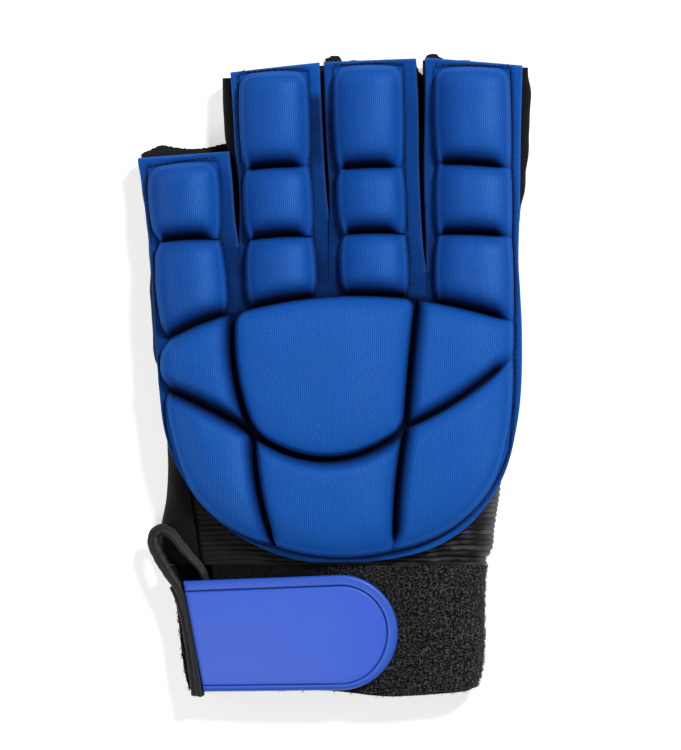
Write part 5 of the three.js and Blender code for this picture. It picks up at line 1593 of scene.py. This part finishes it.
def cloth_material(name, colour, roughness, height, coarse, shine=0.3):
    surface = Surface(name, colour)
    fibres = surface.fields("Fibres", Coarse=0.6 + coarse)
    surface.layer(fibres["Patch"].share(0.55), [min(c * 2.2 + 0.004, 1) for c in colour])
    surface.layer(fibres["Lint"].share(0.35), (0.07, 0.07, 0.075))
    surface.mark("glint", 0.7, (0.105, 0.105, 0.12))
    rough = fibres["Height"].share(0.25, roughness - 0.2)
    relief = surface.emboss(fibres["Height"], height, 0.0004)
    return surface.finished(Roughness=rough, Specular_IOR_Level=shine, **relief,
                            **sheen(0.01, 0.4, (0.8, 0.8, 0.9)))


def pile_material(name, colour):
    surface = Surface(name, dim(colour, 0.3))
    fibres = surface.fields("Fibres", Coarse=1.6)
    pile = surface.fields("Looped pile", Curl=1.9)
    surface.layer(fibres["Patch"].share(0.5), dim(colour, 0.9))
    surface.layer(pile["Thread"].share(0.85), [c * 24.0 + 0.27 for c in colour])
    # Painted shade from the seam value, near black by the strap
    surface.mark("seam", 0.97, dim(colour, 0.12))
    rough = pile["Thread"].share(-0.3, 0.95)
    relief = surface.emboss(pile["Height"], 1.0, 0.0005)
    return surface.finished(Roughness=rough, Specular_IOR_Level=0.16, **relief,
                            **sheen(0.02, 0.5, (0.85, 0.85, 0.95)))


def rubber_material(name, colour):
    surface = Surface(name, colour)
    fibres = surface.fields("Fibres", Coarse=0.8)
    surface.layer(fibres["Patch"].share(0.35), dim(colour, 0.8))
    # Painted shade in the strap's groove
    surface.mark("groove", 0.95, dim(colour, 0.12))
    surface.mark("rim", 0.75, [colour[0] * 0.55, colour[1] * 0.8, colour[2] * 0.78])
    # Painted highlight along the rim's edge by the groove
    surface.mark("shine", 0.45, [min(c * 1.5 + 0.06, 1.0) for c in colour])
    relief = surface.emboss(fibres["Height"], 0.12, 0.0001)
    return surface.finished(Roughness=fibres["Height"].scaled(0.12, 0.33), Specular_IOR_Level=0.45, **relief)


def vinyl_material(name, colour):
    surface = Surface(name, colour)
    fibres = surface.fields("Fibres", Coarse=0.9)
    surface.layer(fibres["Patch"].share(0.6), dim(colour, 1.7))
    # Painted highlight along the roll's top ridges, broken up by a patchy noise that also dents the surface
    patchy = noise(surface.tree, place_in_mm(surface.tree), 0.5, 3.0).share(2.2, -0.6)
    surface.layer((surface.attribute("edge") * 0.6).share(patchy), [c * 7.0 + 0.01 for c in colour])
    relief = surface.emboss(patchy * 1.4 + fibres["Height"], 0.5, 0.0003)
    return surface.finished(Roughness=fibres["Height"].scaled(0.2, 0.4), Specular_IOR_Level=0.4, **relief)


def thread_material(name, colour, roughness=0.6):
    surface = Surface(name, colour)
    fibres = surface.fields("Fibres", Coarse=2.0)
    surface.layer(fibres["Patch"].share(0.8), dim(colour, 2.4))
    relief = surface.emboss(fibres["Height"], 0.3, 0.0001)
    return surface.finished(Roughness=roughness, **relief)


def floor_material(colour):
    surface = Surface("Studio floor", colour)
    tone = noise(surface.tree, place_in_mm(surface.tree), 0.004, 1.0) * 0.06
    surface.layer(tone, dim(colour, 0.9))
    return surface.finished(Roughness=0.8, Specular_IOR_Level=0.2, Emission_Color=(1.0, 1.0, 1.0),
                            Emission_Strength=0.56)


# Stage: floor, lights and camera
def add_light(name, spec):
    flat = math.hypot(spec["x"], spec["y"])
    angle = math.radians(spec["elevation"])
    way = np.array([spec["x"] / flat * math.cos(angle), spec["y"] / flat * math.cos(angle), math.sin(angle)])
    data = bpy.data.lights.new(name, "AREA")
    data.shape = "DISK"
    data.size = spec["size"]
    data.energy = spec["power"]
    lamp = bpy.data.objects.new(name, data)
    lamp.location = way * spec["distance"]
    lamp.rotation_euler = Vector(way).to_track_quat("Z", "Y").to_euler()
    bpy.context.scene.collection.objects.link(lamp)


def build_stage(sizes, colours):
    scene = bpy.context.scene
    mesh = bpy.data.meshes.new("floor")
    steps = np.linspace(-FLOOR["reach"], FLOOR["reach"], FLOOR["points"])
    points = [(x, y, 0.0) for y in steps for x in steps]
    mesh.from_pydata(points, [], grid_quads(len(steps), len(steps)).tolist())
    mesh.materials.append(floor_material(colours.floor))
    floor = bpy.data.objects.new("floor", mesh)
    floor.location.z = -FLOOR["drop"]
    scene.collection.objects.link(floor)
    for name, spec in LIGHTS.items():
        add_light(name, spec)
    world = bpy.data.worlds.new("Studio")
    world.use_nodes = True
    background = world.node_tree.nodes["Background"]
    background.inputs[0].default_value = (1.0, 1.0, 1.0, 1.0)
    background.inputs[1].default_value = WORLD_LIGHT
    scene.world = world
    scene.view_settings.view_transform = "Standard"
    data = bpy.data.cameras.new("camera")
    data.lens = SENSOR_WIDTH * (sizes.camera_height / MM - VIEW["plane"]) / VIEW["height"]
    data.sensor_width = SENSOR_WIDTH
    data.clip_start = 0.05
    data.clip_end = 50.0
    camera = bpy.data.objects.new("camera", data)
    camera.location = (VIEW["centre"][0] * MM, VIEW["centre"][1] * MM, sizes.camera_height)
    scene.collection.objects.link(camera)
    scene.camera = camera


# Operators
def settings():
    scene = bpy.context.scene
    return scene.glove_sizes, scene.glove_colours


class BuildStep:
    """An operator that builds its piece or group from the scene's sizes and colours."""

    def execute(self, context):
        self.build(*settings())
        return {"FINISHED"}


class GLOVE_OT_foam(BuildStep, bpy.types.Operator):
    """Build the moulded foam panel with its pads and flange"""

    bl_idname = "glove.foam"
    bl_label = "Foam back"
    build = staticmethod(build_foam)


class GLOVE_OT_stitches(BuildStep, bpy.types.Operator):
    """Sew the rows of stitches beside the pads"""

    bl_idname = "glove.stitches"
    bl_label = "Stitches"
    build = staticmethod(build_stitches)


class GLOVE_OT_palm(BuildStep, bpy.types.Operator):
    """Build the palm sheet"""

    bl_idname = "glove.palm"
    bl_label = "Palm"
    build = staticmethod(build_palm)


class GLOVE_OT_sides(BuildStep, bpy.types.Operator):
    """Build the side strips and the strips round the finger gaps"""

    bl_idname = "glove.sides"
    bl_label = "Sides"
    build = staticmethod(build_sides)


class GLOVE_OT_ribs(BuildStep, bpy.types.Operator):
    """Build the ribbed elastic panel"""

    bl_idname = "glove.ribs"
    bl_label = "Ribbed panel"
    build = staticmethod(build_ribs)


class GLOVE_OT_cuff(BuildStep, bpy.types.Operator):
    """Build the wrist band and its loop pile"""

    bl_idname = "glove.cuff"
    bl_label = "Wrist band"
    build = staticmethod(build_cuff)


class GLOVE_OT_strap(BuildStep, bpy.types.Operator):
    """Build the moulded closing strap"""

    bl_idname = "glove.strap"
    bl_label = "Closing strap"
    build = staticmethod(build_strap)


class GLOVE_OT_bindings(BuildStep, bpy.types.Operator):
    """Build the satin rolls round the slit, at the strap's end and round the thumb hole"""

    bl_idname = "glove.bindings"
    bl_label = "Bindings"
    build = staticmethod(build_bindings)


class GLOVE_OT_stage(BuildStep, bpy.types.Operator):
    """Set up the floor, the lights and the camera"""

    bl_idname = "glove.stage"
    bl_label = "Stage"
    build = staticmethod(build_stage)


OPERATORS = (
    GLOVE_OT_foam, GLOVE_OT_stitches, GLOVE_OT_palm, GLOVE_OT_sides, GLOVE_OT_ribs, GLOVE_OT_cuff,
    GLOVE_OT_strap, GLOVE_OT_bindings, GLOVE_OT_stage,
)


class GLOVE_PT_panel(bpy.types.Panel):
    """Lists the glove's sizes, colours and build steps"""

    bl_idname = "GLOVE_PT_panel"
    bl_label = "Field hockey glove"
    bl_space_type = "VIEW_3D"
    bl_region_type = "UI"
    bl_category = "Glove"

    def draw(self, context):
        for group in (context.scene.glove_sizes, context.scene.glove_colours):
            box = self.layout.box()
            for name in group.__annotations__:
                box.prop(group, name)
        for operator in OPERATORS:
            self.layout.operator(operator.bl_idname)


CLASSES = (GloveSizes, GloveColours, *OPERATORS, GLOVE_PT_panel)


def register():
    for item in CLASSES:
        bpy.utils.register_class(item)
    bpy.types.Scene.glove_sizes = bpy.props.PointerProperty(type=GloveSizes)
    bpy.types.Scene.glove_colours = bpy.props.PointerProperty(type=GloveColours)


def unregister():
    del bpy.types.Scene.glove_colours
    del bpy.types.Scene.glove_sizes
    for item in reversed(CLASSES):
        bpy.utils.unregister_class(item)


def main():
    register()
    bpy.ops.glove.stage()
    bpy.ops.glove.foam()
    bpy.ops.glove.stitches()
    bpy.ops.glove.palm()
    bpy.ops.glove.sides()
    bpy.ops.glove.ribs()
    bpy.ops.glove.cuff()
    bpy.ops.glove.strap()
    bpy.ops.glove.bindings()
    bpy.context.view_layer.update()


if __name__ == "__main__":
    main()
